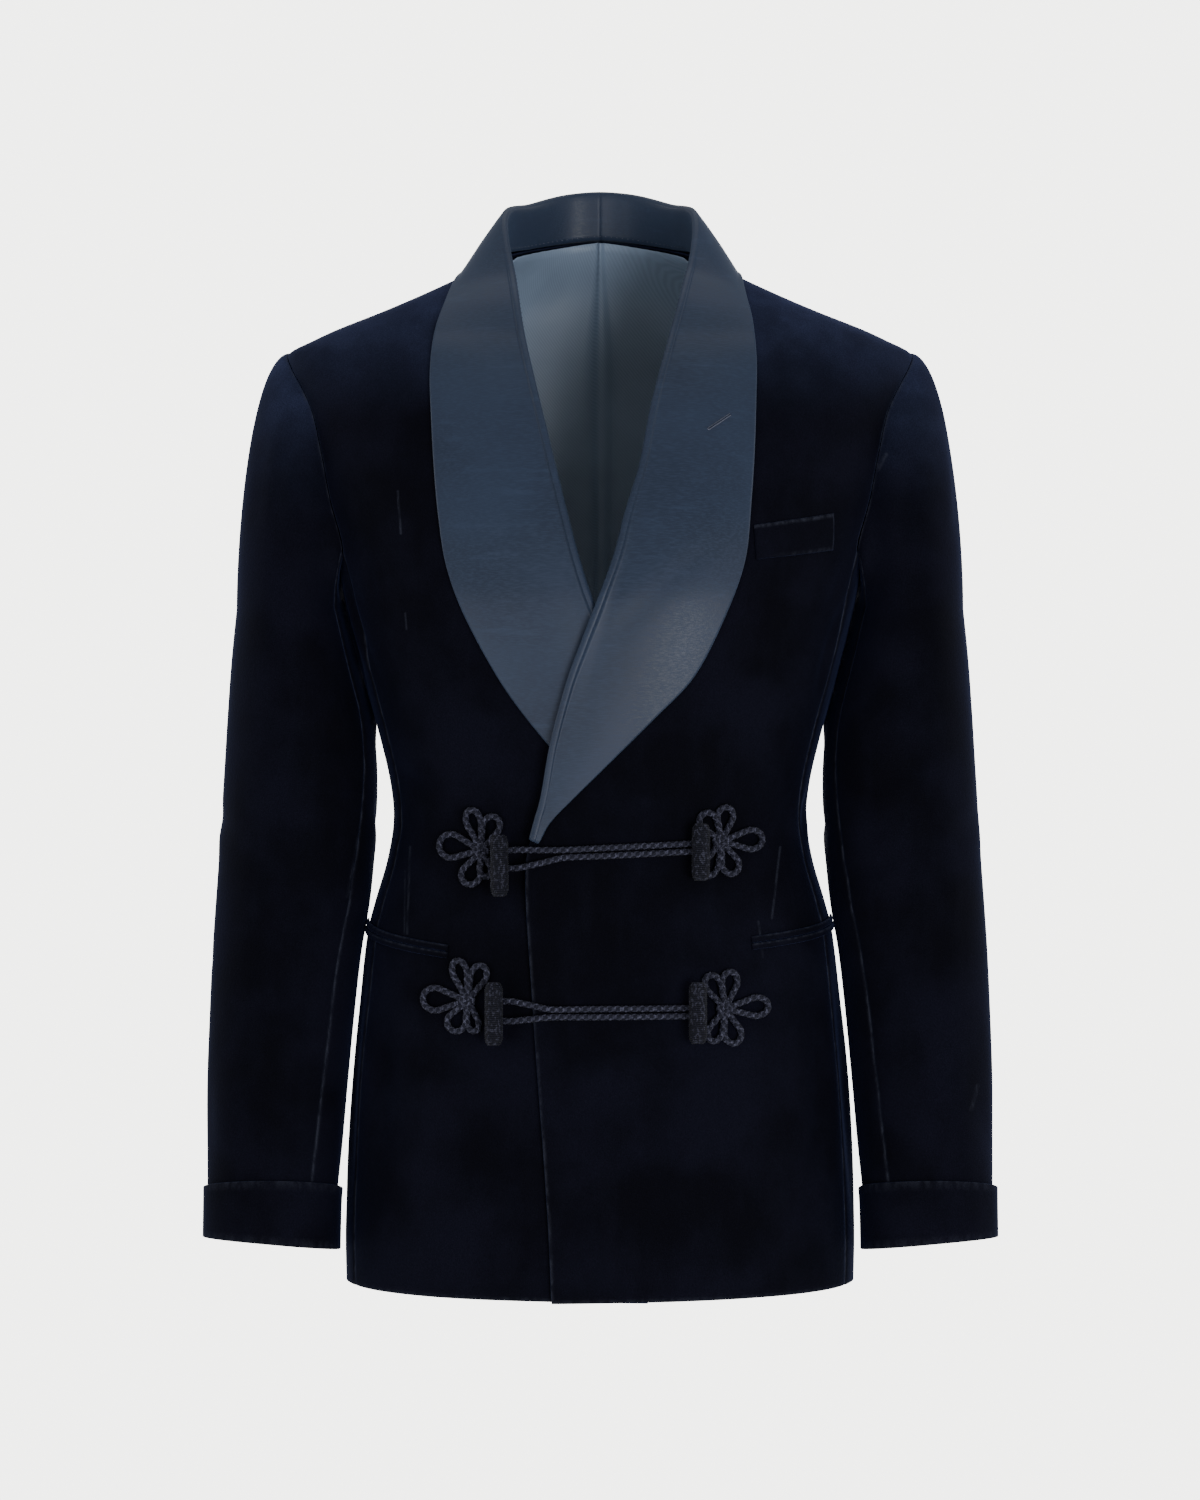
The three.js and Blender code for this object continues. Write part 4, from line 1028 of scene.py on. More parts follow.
def sleeve_cap(turn, t):
    """The sleeve cap swells out of the armhole and turns down into the arm."""
    start = sleeve_start(turn)
    end = sleeve_ring(np.full(turn.shape, float(BICEPS)), turn)
    out, front = compass(turn)
    rise = np.where(out > 0, CAP_UP_AT_TIP, CAP_DOWN_UNDER) * out
    leave = [CAP_OUT + CAP_OUT_AT_TIP * out, -CAP_FORWARD * front]
    leave = np.stack([*leave, rise - CAP_DOWN_AT_SIDES * np.abs(front)], -1)
    arrive = np.zeros(leave.shape)
    arrive[..., 2] = -(start[..., 2] - end[..., 2]) * CAP_FALL
    return hermite(start, leave, end, arrive, t[..., None])


def make_sleeve(name, side, first, last, width):
    """One piece of a sleeve, from the armhole to the end that the cuff turns back."""
    shares = np.concatenate([[-0.02], clustered(width, cloth_step()), [1.02]])
    cap_shares = np.concatenate([[0, 0.006, 0.014, 0.025], np.linspace(0.04, 1, 40)])
    heights = np.linspace(BICEPS, SLEEVE_END, int(SLEEVE_LENGTH / cloth_step()))[1:]
    fore = SLEEVE(heights)[-1]
    first_turns = fore if first == FORE_SEAM else np.full(fore.shape, float(first))
    last_turns = fore if last == FORE_SEAM else np.full(fore.shape, float(last))
    cap_turns = lerp(first, last, shares)[None, :] + np.zeros((len(cap_shares), 1))
    arm_turns = lerp(first_turns[:, None], last_turns[:, None], shares)
    cap = sleeve_cap(cap_turns, cap_shares[:, None] + 0 * cap_turns)
    arm = sleeve_ring(heights[:, None] + 0 * arm_turns, arm_turns)
    wide = np.concatenate([cap, arm])
    normals = grid_normals(wide)[:, 1:-1]
    turns = np.concatenate([cap_turns, arm_turns])[:, 1:-1]
    grid = wide[:, 1:-1].copy()
    grid[:, 0] += unit(grid[:, 1] - grid[:, 0]) * SEAM_GAP
    grid[:, -1] += unit(grid[:, -2] - grid[:, -1]) * SEAM_GAP
    down = along_path(np.swapaxes(grid, 0, 1)).T
    from_end = down[-1:] - down
    creases = SLEEVE_CREASES[side]
    relief = crease_relief(turns * SLEEVE_SCALE, grid[..., 2], creases, sizes().crease_depth)
    relief = relief * smoothstep(down, *SLEEVE_CREASES_START)
    relief = relief * smoothstep(from_end, *SLEEVE_CREASES_END)
    relief = relief + towards_body(turns, grid[..., 2])
    gather = np.sin(np.radians(turns) * 31) + 0.6 * np.sin(np.radians(turns) * 53 + side)
    fade = np.exp(-down / GATHER_LENGTH) * smoothstep(down, 0, 3)
    relief = relief - GATHER_DEPTH * (1.6 - gather) * fade
    # The sleeve head and the seams show rubbed pile with painted sheen.
    worn = SLEEVE_HEAD_WEAR_AND_SHEEN * bell(down, SLEEVE_HEAD_WEAR_AND_SHEEN_WIDTH)
    for distance in (along_path(grid), from_row_end(grid)):
        relief = relief + seam_dip(distance) * SLEEVE_SEAM_SHARE
        worn = np.maximum(worn, SLEEVE_SEAM_SHARE * bell(distance, SEAM_WEAR_AND_SHEEN_WIDTH))
    outer = grid + normals * relief[..., None]
    inner = outer - normals * VELVET
    # Painted sheen: the pile is made lighter high on the sleeve where it faces up, where light from
    # above grazes it.
    bloom = SLEEVE_PAINTED_SHEEN * smoothstep(outer[..., 2], *SLEEVE_PAINTED_SHEEN_Z)
    bloom = bloom * smoothstep(normals[..., 2], -0.2, 0.7)
    make_cloth(name, side, (outer, inner), "velvet", worn, bloom)


def cuff_outline(turns):
    """Rounded places round the cuff's section: how far out, how high, and how much rubbed pile with
    painted sheen it shows.
    """
    out, front = compass(turns)
    corners = []
    for away, level in CUFF_SECTION:
        height, at_front, at_outer = CUFF_LEVELS[level]
        rise = height + at_front * front + at_outer * out
        corners.append(np.stack([np.full(turns.shape, float(away)), rise], -1))
    places, worn = [], []
    for k, corner in enumerate(corners):
        before, after = corners[k - 1], corners[(k + 1) % len(corners)]
        back, onward = unit(before - corner), unit(after - corner)
        places += [corner + back * CUFF_ROUNDING, corner + (back + onward) * CUFF_ROUNDING * 0.3]
        places.append(corner + onward * CUFF_ROUNDING)
        # The top and bottom corners of the cuff show rubbed pile with painted sheen.
        mark = 0.5 if CUFF_SECTION[k][1] in ("top", "bottom") and k < 3 else 0.0
        worn += [mark * 0.5, mark, mark * 0.5]
        run = np.linalg.norm(after - corner, axis=-1).mean()
        for share in np.linspace(0, 1, max(int(run / 5), 1) + 1)[1:-1]:
            rounding = onward * CUFF_ROUNDING
            places.append(lerp(corner + rounding, after - rounding, share))
            worn.append(0.0)
    return np.stack(places, 1), np.array(worn)


def make_cuff(side, word):
    turns = np.arange(0, 360, 3.0)
    outline, worn = cuff_outline(turns)
    away, height = outline[..., 0], outline[..., 1]
    turn = turns[:, None] + 0 * height
    outer, inner, centre_y, _, front_rise, outer_rise, _ = SLEEVE(height)
    out, front = compass(turn)
    rise = front_rise * front + outer_rise * out
    edge = sleeve_ring(height - rise, turn)
    way = np.stack([edge[..., 0] - (outer + inner) / 2, edge[..., 1] - centre_y], -1)
    belly = CUFF_BELLY * np.sin(np.radians(turn) * 3 + side) * smoothstep(away, 2, 3.2)
    edge[..., :2] += unit(way) * (away + belly)[..., None]
    edge[..., 2] = height
    rows, columns = height.shape
    ids = np.arange(rows * columns).reshape(rows, columns)
    across, down = np.roll(ids, -1, 0), np.roll(ids, -1, 1)
    quads = np.stack([ids, across, np.roll(across, -1, 1), down], -1).reshape(-1, 4)
    points = mirrored(edge, side).reshape(-1, 3)
    if signed_volume(points, quads) < 0:
        quads = quads[:, ::-1]
    attributes = {"worn": np.tile(worn, rows), "bloom": np.zeros(rows * columns)}
    node = "cuff_" + word
    piece = make_mesh(node + "_cloth", points, quads, material_for(node, "velvet"), attributes)
    dress(piece, node)


def make_strip(node, corners, lift, thickness, wear_and_sheen_at):
    """A narrow strip laid on the torso, rounded across like a turned edge."""
    low_start, low_end, high_start, high_end = (np.array(c, float) for c in corners)
    middle = np.linspace(0.035, 0.965, STRIP_POINTS)
    t = np.concatenate([[0, 0.008, 0.02], middle, [0.98, 0.992, 1]])
    s = np.concatenate([[0, 0.05, 0.13], np.linspace(0.25, 0.75, 5), [0.87, 0.95, 1]])
    t_grid, s_grid = t[None, :, None], s[:, None, None]
    place = lerp(lerp(low_start, low_end, t_grid), lerp(high_start, high_end, t_grid), s_grid)
    base = torso_point(place[..., 0], place[..., 1])
    base = lift_to(base, lift(base))
    across = 1 - np.abs(2 * s[:, None] - 1) ** 4
    ends = 1 - np.abs(2 * t[None, :] - 1) ** 40
    rise = thickness * (0.35 + 0.65 * np.sqrt(np.clip(across * ends, 0, 1)))
    raised = base + torso_normal(base) * rise[..., None]
    # Where the strip's pile is rubbed light, with painted sheen along its edges.
    worn = wear_and_sheen_at(s[:, None] + 0 * rise, t[None, :] + 0 * rise)
    make_cloth(node, 1, (raised, base), "velvet", worn, 0.0)


def make_hip_pocket(word, inner, outer):
    over = word == "left"

    def lift(point):
        return front_layer(over, np.abs(point[..., 0]), point[..., 2]) + LAY_GAP

    def strip(node, low, wear_and_sheen_at):
        heights = (low, low + JET_WIDTH)
        corners = [(end[0], end[1] + h) for h in heights for end in (inner, outer)]
        make_strip(node, corners, lift, JET_THICKNESS, wear_and_sheen_at)

    upper = "hip_pocket_" + word + "_upper_jet"
    lower = "hip_pocket_" + word + "_lower_jet"
    # Each jet shows rubbed pile with painted sheen near one long edge.
    strip(upper, JET_GAP / 2, lambda s, t: 0.55 * bell(s - 0.9, 0.14))
    strip(lower, -JET_GAP / 2 - JET_WIDTH, lambda s, t: 0.6 * bell(s - 0.85, 0.16))


def make_welt():
    corners = []
    for x, z in (WELT_INNER_BOTTOM, WELT_OUTER_BOTTOM, WELT_INNER_TOP, WELT_OUTER_TOP):
        corners.append((float(front_angle(np.float64(x), z)), z))

    # The welt's top, outer end and bottom show rubbed pile with painted sheen.
    def wear_and_sheen_at(s, t):
        top = 0.75 * bell(s - 0.97, 0.04)
        outer = 0.6 * bell(t - 0.99, 0.015)
        bottom = 0.35 * bell(s - 0.02, 0.05) * smoothstep(t, 0.1, 0.5)
        return np.maximum(np.maximum(top, outer), bottom)

    def lift(point):
        return front_layer(True, point[..., 0], point[..., 2]) + LAY_GAP

    make_strip("breast_pocket_welt", corners, lift, WELT_THICKNESS, wear_and_sheen_at)


class Nodes:
    """A node tree, with short ways to add nodes and to fill their inputs."""

    def __init__(self, group):
        self.group = group

    def feed(self, socket, value):
        """Links an input to another node's output, or sets its value."""
        if isinstance(value, bpy.types.NodeSocket):
            self.group.links.new(value, socket)
        else:
            socket.default_value = value

    def node(self, kind, inputs=None, **settings):
        made = self.group.nodes.new(kind)
        for label, value in settings.items():
            setattr(made, label, value)
        for label, value in (inputs or {}).items():
            self.feed(made.inputs[label], value)
        return made

    def math(self, operation, *values, clamp=False):
        inputs = dict(enumerate(values))
        return self.node("ShaderNodeMath", inputs, operation=operation, use_clamp=clamp).outputs[0]

    def times(self, first, second):
        return self.math("MULTIPLY", first, second)

    def vector(self, operation, inputs, output="Vector"):
        return self.node("ShaderNodeVectorMath", inputs, operation=operation).outputs[output]


class Tree(Nodes):
    """A geometry node tree with named inputs, ending in Realize Instances and Set Material."""

    def __init__(self, name, inputs):
        super().__init__(bpy.data.node_groups.new(name, "GeometryNodeTree"))
        sockets = self.group.interface
        sockets.new_socket("Geometry", in_out="INPUT", socket_type="NodeSocketGeometry")
        self.names = {}
        for label, kind, default in inputs:
            socket = sockets.new_socket(label, in_out="INPUT", socket_type=kind)
            socket.default_value = default
            self.names[label] = socket.identifier
        material = sockets.new_socket("Material", in_out="INPUT", socket_type="NodeSocketMaterial")
        self.names["Material"] = material.identifier
        sockets.new_socket("Geometry", in_out="OUTPUT", socket_type="NodeSocketGeometry")
        self.start = self.node("NodeGroupInput")

    def value(self, label):
        return self.start.outputs[label]

    def path(self, kind="GeometryNodeResampleCurve"):
        """The curve that comes in, in steps of the tree's spacing."""
        steps = {"Curve": self.value("Geometry"), "Length": self.value("Spacing")}
        return self.node(kind, steps, mode="LENGTH")

    def tube(self, curve, radius, sides):
        section = self.node("GeometryNodeCurvePrimitiveCircle", {"Radius": radius, "Resolution": sides})
        sweep = {"Curve": curve, "Profile Curve": section.outputs[0], "Fill Caps": True}
        return self.node("GeometryNodeCurveToMesh", sweep).outputs[0]

    def finish(self, geometry):
        smooth = self.node("GeometryNodeSetShadeSmooth", {"Geometry": geometry}).outputs[0]
        real = self.node("GeometryNodeRealizeInstances", {"Geometry": smooth}).outputs[0]
        paint = {"Geometry": real, "Material": self.value("Material")}
        self.node("NodeGroupOutput", {0: self.node("GeometryNodeSetMaterial", paint).outputs[0]})
        return self


def braided_cord_tree():
    """Strands wind both ways round a path and pass over and under each other."""
    tree = Tree("Braided cord", [
        ("Cord radius", "NodeSocketFloat", 0.0025),
        ("Strand radius", "NodeSocketFloat", 0.0007),
        ("Weave height", "NodeSocketFloat", 0.00018),
        ("Strands", "NodeSocketInt", 8),
        ("Strand sides", "NodeSocketInt", 5),
        ("Lay length", "NodeSocketFloat", 0.011),
        ("Spacing", "NodeSocketFloat", 0.0011),
    ])
    path = tree.path().outputs[0]
    copying = {"Geometry": path, "Amount": tree.value("Strands")}
    copies = tree.node("GeometryNodeDuplicateElements", copying, domain="SPLINE")
    number = copies.outputs["Duplicate Index"]
    parity = tree.math("MODULO", number, 2.0)
    direction = tree.math("SUBTRACT", 1.0, tree.times(parity, 2.0))
    pair = tree.math("FLOOR", tree.math("DIVIDE", number, 2.0))
    pairs = tree.math("DIVIDE", tree.value("Strands"), 2.0)
    phase = tree.times(tree.math("DIVIDE", pair, pairs), 2 * np.pi)
    run = tree.node("GeometryNodeSplineParameter").outputs["Length"]
    turn = tree.times(tree.math("DIVIDE", run, tree.value("Lay length")), 2 * np.pi)
    angle = tree.math("ADD", tree.times(turn, direction), phase)
    wave = tree.math("COSINE", tree.times(turn, pairs))
    lift = tree.times(tree.times(wave, direction), tree.value("Weave height"))
    middle = tree.math("SUBTRACT", tree.value("Cord radius"), tree.value("Strand radius"))
    middle = tree.math("SUBTRACT", middle, tree.value("Weave height"))
    away = tree.math("ADD", middle, lift)
    normal = tree.node("GeometryNodeInputNormal").outputs[0]
    tangent = tree.node("GeometryNodeInputTangent").outputs[0]
    beside = tree.vector("CROSS_PRODUCT", {0: tangent, 1: normal})
    parts = []
    for way, part in ((normal, "COSINE"), (beside, "SINE")):
        reach = tree.times(away, tree.math(part, angle))
        parts.append(tree.vector("SCALE", {0: way, "Scale": reach}))
    offset = tree.vector("ADD", dict(enumerate(parts)))
    moving = {"Geometry": copies.outputs[0], "Offset": offset}
    moved = tree.node("GeometryNodeSetPosition", moving).outputs[0]
    marking = {"Geometry": moved, "Name": "strand", "Value": number}
    kind = {"data_type": "FLOAT", "domain": "POINT"}
    marked = tree.node("GeometryNodeStoreNamedAttribute", marking, **kind).outputs[0]
    strands = tree.tube(marked, tree.value("Strand radius"), tree.value("Strand sides"))
    core = tree.tube(path, middle, tree.value("Strands"))
    join = tree.node("GeometryNodeJoinGeometry", {0: core})
    tree.feed(join.inputs[0], strands)
    return tree.finish(join.outputs[0])


def wound_thread_tree():
    """A thread of one thickness along a path."""
    tree = Tree("Wound thread", [
        ("Thread radius", "NodeSocketFloat", 0.0007),
        ("Thread sides", "NodeSocketInt", 6),
        ("Spacing", "NodeSocketFloat", 0.0016),
    ])
    path = tree.path().outputs[0]
    return tree.finish(tree.tube(path, tree.value("Thread radius"), tree.value("Thread sides")))


def stitches_tree():
    """Small rounded stitches set along a path, each turned a little from its run."""
    tree = Tree("Stitches", [
        ("Stitch length", "NodeSocketFloat", 0.002),
        ("Stitch radius", "NodeSocketFloat", 0.0003),
        ("Spacing", "NodeSocketFloat", 0.004),
        ("Slant", "NodeSocketFloat", 0.0),
    ])
    points = tree.path("GeometryNodeCurveToPoints")
    ball = {"Segments": 6, "Rings": 5, "Radius": 1.0}
    bead = tree.node("GeometryNodeMeshUVSphere", ball).outputs["Mesh"]
    radius = tree.value("Stitch radius")
    half = tree.times(tree.value("Stitch length"), 0.5)
    size = tree.node("ShaderNodeCombineXYZ", {"X": radius, "Y": radius, "Z": half}).outputs[0]
    form = tree.node("GeometryNodeTransform", {"Geometry": bead, "Scale": size}).outputs[0]
    slant = tree.node("ShaderNodeCombineXYZ", {"Y": tree.value("Slant")}).outputs[0]
    tilt = tree.node("GeometryNodeTransform", {"Geometry": form, "Rotation": slant}).outputs[0]
    places, turns = points.outputs["Points"], points.outputs["Rotation"]
    placing = {"Points": places, "Instance": tilt, "Rotation": turns}
    return tree.finish(tree.node("GeometryNodeInstanceOnPoints", placing).outputs[0])


TREES = {}
TREE_MAKERS = {
    "braid": braided_cord_tree,
    "thread": wound_thread_tree,
    "stitches": stitches_tree,
}


def grown_from(name, paths, kind, material, **settings):
    """Runs a geometry node tree along paths and returns its result as a plain mesh object."""
    if kind not in TREES:
        TREES[kind] = TREE_MAKERS[kind]()
    tree = TREES[kind]
    curve = bpy.data.curves.new(name + "_path", "CURVE")
    curve.dimensions = "3D"
    for path in paths:
        spline = curve.splines.new("POLY")
        spline.points.add(len(path) - 1)
        flat = np.concatenate([path * MM, np.ones((len(path), 1))], 1)
        spline.points.foreach_set("co", flat.ravel())
    holder = placed(name + "_path", curve)
    modifier = holder.modifiers.new("Grow", "NODES")
    modifier.node_group = tree.group
    for label, value in {**settings, "Material": material}.items():
        modifier[tree.names[label]] = value
    graph = bpy.context.evaluated_depsgraph_get()
    mesh = bpy.data.meshes.new_from_object(holder.evaluated_get(graph), depsgraph=graph)
    if not len(mesh.polygons):
        raise RuntimeError(name + ": its node tree made nothing")
    mesh.name = name
    holder.modifiers.remove(modifier)
    bpy.data.objects.remove(holder)
    return placed(name, mesh)


def joined(name, pieces):
    """One object with the meshes of several."""
    with bpy.context.temp_override(
        active_object=pieces[0],
        selected_editable_objects=pieces,
        selected_objects=pieces,
    ):
        bpy.ops.object.join()
    pieces[0].name = name
    pieces[0].data.name = name
    return pieces[0]


def cord_settings():
    return {
        "Cord radius": CORD_RADIUS * MM,
        "Strand radius": sizes().strand_radius,
        "Strands": sizes().strands,
        "Lay length": sizes().lay_length,
    }


def petal_path(centre, petal, lift):
    """One petal leaves the middle of the rosette, turns at its tip and comes back."""
    across, up, half_width = petal
    reach = float(np.hypot(across, up)) - CORD_RADIUS
    way = np.array([across, up]) / np.hypot(across, up)
    shares = ((0.42, 0.6), (0.74, 1), (0.95, 0.6), (1, 0))
    outline = [(PETAL_FOOT, -1)] + [(a * reach, -b * half_width) for a, b in shares]
    outline += [(a * reach, b * half_width) for a, b in shares[-2::-1]] + [(PETAL_FOOT, 1)]
    along, beside = np.array(outline, float).T
    x = centre[0] + along * way[0] - beside * way[1]
    z = centre[1] + along * way[1] + beside * way[0]
    return even_path(above_front(x, z, lift(x, z)), PATH_SPACING)


def make_rosette(node, centre, petals, material):
    over = centre[0] > 0

    def lift(x, z):
        return front_layer(over, np.abs(x), z) + TRIM_GAP + CORD_RADIUS

    paths = [petal_path(centre, petal, lift) for petal in petals]
    turn = np.linspace(0, 2 * np.pi * HUB_TURNS, HUB_POINTS)
    radius = np.linspace(HUB_START, HUB_RADIUS - CORD_RADIUS, HUB_POINTS)
    x, z = centre[0] + radius * np.cos(turn), centre[1] + radius * np.sin(turn)
    paths.append(above_front(x, z, lift(x, z) + HUB_RISE))
    piece = grown_from(node + "_cord", paths, "braid", material, **cord_settings())
    dress(piece, node)


def ring_faces(rings, sides):
    """Faces of a closed form: a point, some rings, and a point."""
    nearby = [(k, (k + 1) % sides) for k in range(sides)]
    faces = [[0, 1 + after, 1 + at] for at, after in nearby]
    for start in range(1, 1 + sides * (rings - 1), sides):
        onward = start + sides
        faces += [[start + k, start + n, onward + n, onward + k] for k, n in nearby]
    last = 1 + rings * sides
    return faces + [[last, last - sides + at, last - sides + after] for at, after in nearby]


def make_toggle(node, x, z, length, material):
    """A barrel wrapped with thread from end to end, over a core that closes it."""
    top, bottom, middle = (above_front(x, z + a, TOGGLE_LIFT) for a in (length / 2, -length / 2, 0))
    axis = unit(top - bottom)
    first = unit(np.cross(axis, [0.0, 1.0, 0.0]))
    second = np.cross(axis, first)
    thread = sizes().wrap_spacing / MM / 2
    half = length / 2 - thread
    count = int(half / thread)
    turn = np.linspace(0, 2 * np.pi * count, count * TURN_POINTS)
    along = np.linspace(-half, half, len(turn))
    near_end = np.clip((np.abs(along) - half + TOGGLE_TAPER_LENGTH) / TOGGLE_TAPER_LENGTH, 0, 1)
    radius = (TOGGLE_RADIUS - thread * 0.9) * (1 - TOGGLE_TAPER * near_end**2)
    ends = np.linspace(0.12, 1, END_POINTS)
    closing = np.linspace(-2 * np.pi * 3, 0, END_POINTS)

    def point(a, r, t):
        spun = first * (np.cos(t) * r)[:, None] + second * (np.sin(t) * r)[:, None]
        return middle + axis * a[:, None] + spun

    low = point(np.full(END_POINTS, -half), ends * radius[0], closing)
    high = point(np.full(END_POINTS, half), ends[::-1] * radius[-1], turn[-1] - closing[::-1])
    path = np.concatenate([low, point(along, radius, turn), high])
    wrap = grown_from(node + "_wrap", [path], "thread", material, **{
        "Thread radius": thread * 1.12 * MM,
        "Spacing": 0.0019,
    })
    core_along = np.array([-half - 0.4, -half, -half * 0.6, half * 0.6, half, half + 0.4])
    core_radius = np.array([0.0, 0.62, 0.86, 0.86, 0.62, 0.0]) * (TOGGLE_RADIUS - thread)
    spins = np.linspace(0, 2 * np.pi, CORE_SIDES + 1)[:-1]
    around = np.ones(CORE_SIDES)
    rings = [point(around * a, around * r, spins) for a, r in zip(core_along, core_radius)]
    rings[0], rings[-1] = rings[0][:1], rings[-1][:1]
    core = bpy.data.meshes.new(node + "_core")
    core.from_pydata((np.concatenate(rings) * MM).tolist(), [], ring_faces(4, CORE_SIDES))
    core.materials.append(material)
    piece = joined(node + "_cord", [wrap, placed(node + "_core", core)])
    dress(piece, node)


def make_loop(node, end, merge, turn, material):
    half = CORD_RADIUS + CORD_GAP
    turn_x, turn_z, width = turn

    def run(t, side):
        return lerp(end[0], merge[0], t), lerp(end[1], merge[1], t) + side * half

    flat = [run(t, 1) for t in (0, 0.25, 0.5, 0.75, 1)]
    bend_x = lerp(merge[0], turn_x, 0.4)
    flat.append((bend_x, lerp(merge[1] + half, turn_z + width, 0.5)))
    flat += [(turn_x + 4, turn_z + width), (turn_x - width * 0.75, turn_z + width * 0.7)]
    flat += [(turn_x - width, turn_z), (turn_x - width * 0.75, turn_z - width * 0.7)]
    flat += [(turn_x + 4, turn_z - width)]
    flat.append((bend_x, lerp(merge[1] - half, turn_z - width, 0.5)))
    flat += [run(t, -1) for t in (1, 0.75, 0.5, 0.25, 0)]
    x, z = np.array(flat, float).T
    path = even_path(above_front(x, z, LOOP_LIFT), PATH_SPACING)
    piece = grown_from(node + "_cord", [path], "braid", material, **cord_settings())
    dress(piece, node)


class Paint(Nodes):
    """A material's nodes, with short ways to add patterns and to finish it."""

    def __init__(self, name):
        self.material = bpy.data.materials.new(name)
        self.material.use_nodes = True
        super().__init__(self.material.node_tree)
        self.shader = self.group.nodes["Principled BSDF"]

    def place(self, scale=(1, 1, 1), turn=(0, 0, 0)):
        where = self.node("ShaderNodeTexCoord").outputs["Object"]
        inputs = {"Vector": where, "Scale": scale, "Rotation": turn}
        return self.node("ShaderNodeMapping", inputs).outputs[0]

    def noise(self, scale, detail=2.0, stretch=(1, 1, 1), turn=(0, 0, 0)):
        inputs = {"Scale": scale, "Detail": detail, "Vector": self.place(stretch, turn)}
        return self.node("ShaderNodeTexNoise", inputs).outputs["Fac"]

    def attribute(self, name):
        return self.node("ShaderNodeAttribute", attribute_name=name).outputs["Fac"]

    def span(self, value, low, high, to_low=0.0, to_high=1.0):
        inputs = {"Value": value, "From Min": low, "From Max": high}
        inputs.update({"To Min": to_low, "To Max": to_high})
        return self.node("ShaderNodeMapRange", inputs, interpolation_type="SMOOTHSTEP").outputs[0]

    def blend(self, share, first, second):
        """Mixes two colours. Each is a node's output or three numbers."""
        ends = [(*end, 1.0) if isinstance(end, tuple) else end for end in (first, second)]
        inputs = {0: share, 6: ends[0], 7: ends[1]}
        return self.node("ShaderNodeMix", inputs, data_type="RGBA").outputs[2]

    def bump(self, height, strength, distance, **under):
        inputs = {"Height": height, "Strength": strength, "Distance": distance, **under}
        return self.node("ShaderNodeBump", inputs).outputs[0]

    def finish(self, colour, roughness, normal, **looks):
        """Fills the shader's inputs and gives the material."""
        looks.update(Base_Color=colour, Roughness=roughness, Normal=normal)
        for label, value in looks.items():
            self.feed(self.shader.inputs[label.replace("_", " ")], value)
        return self.material


def line_mask(paint, lines):
    """Thin marks seen from the front, each between two places on the cloth, fading at its edges."""
    where = paint.node("ShaderNodeTexCoord").outputs["Object"]
    flat = paint.vector("MULTIPLY", {0: where, 1: (1, 0, 1)})
    total = None
    for x0, z0, x1, z1, width, strength in lines:
        start = np.array([x0, 0, z0]) * MM
        run = np.array([x1 - x0, 0, z1 - z0]) * MM
        offset = paint.vector("SUBTRACT", {0: flat, 1: start})
        along = paint.vector("DOT_PRODUCT", {0: offset, 1: run / (run @ run)}, "Value")
        share = paint.math("ADD", along, 0.0, clamp=True)
        nearest = paint.vector("SCALE", {0: run, "Scale": share})
        away = paint.vector("DISTANCE", {0: offset, 1: nearest}, "Value")
        mark = paint.span(away, 0.25 * width * MM, 1.5 * width * MM, strength, 0.0)
        total = mark if total is None else paint.math("MAXIMUM", total, mark)
    return total


def velvet_paint(name, lines):
    """Dense cut pile: nearly black from the front, lit by its sheen at grazing angles, with a painted
    rim sheen and painted sheen on the shoulders and sleeves, and rubbed light with painted sheen at the
    seams.
    """
    paint = Paint(name)
    pile = paint.noise(1500, 3.0)
    tufts = paint.noise(420, 2.0)
    clouds = paint.noise(14, 4.0)
    brushed = paint.noise(55, 3.0, stretch=(1, 1, 0.35))
    broken = paint.span(paint.noise(240, 3.0, stretch=(1, 1, 0.4)), 0.38, 0.62, 0.25, 1.0)
    light, painted_sheen_colour = colour_of("velvet", 1.5), colour_of("bloom")
    colour = paint.blend(paint.span(clouds, 0.35, 0.68), colour_of("velvet", 0.62), light)
    colour = paint.blend(paint.times(paint.span(brushed, 0.45, 0.75), 0.3), colour, light)
    # Painted rim sheen: the edges that turn away from view take the painted sheen colour.
    facing = paint.node("ShaderNodeLayerWeight", {"Blend": 0.32}).outputs["Facing"]
    rim = paint.times(paint.span(facing, 0.5, 1.0), 0.4)
    colour = paint.blend(rim, colour, painted_sheen_colour)
    # Painted sheen from the attribute, in patches, over the shoulders and sleeves.
    patches = paint.span(paint.noise(30, 3.0), 0.3, 0.7, 0.55, 1.0)
    bloom = paint.times(paint.attribute("bloom"), patches)
    colour = paint.blend(bloom, colour, painted_sheen_colour)
    # Rubbed pile with painted sheen along seams, edges and the listed lines, broken up by noise.
    marks = paint.attribute("worn")
    if lines:
        marks = paint.math("MAXIMUM", marks, line_mask(paint, lines))
    marks = paint.times(marks, broken)
    colour = paint.blend(paint.times(marks, 0.85), colour, colour_of("worn_pile_and_sheen"))
    speckle = paint.span(pile, 0.3, 0.75, 0.72, 1.3)
    tufted = paint.bump(tufts, 0.35, 0.0006)
    return paint.finish(
        paint.vector("SCALE", {0: colour, "Scale": speckle}),
        paint.span(clouds, 0.3, 0.7, 0.82, 0.95),
        paint.bump(pile, 0.45, 0.0003, Normal=tufted),
        Sheen_Weight=0.14,
        Sheen_Roughness=0.38,
        Sheen_Tint=(0.2, 0.27, 0.72, 1.0),
        Specular_IOR_Level=0.05,
    )


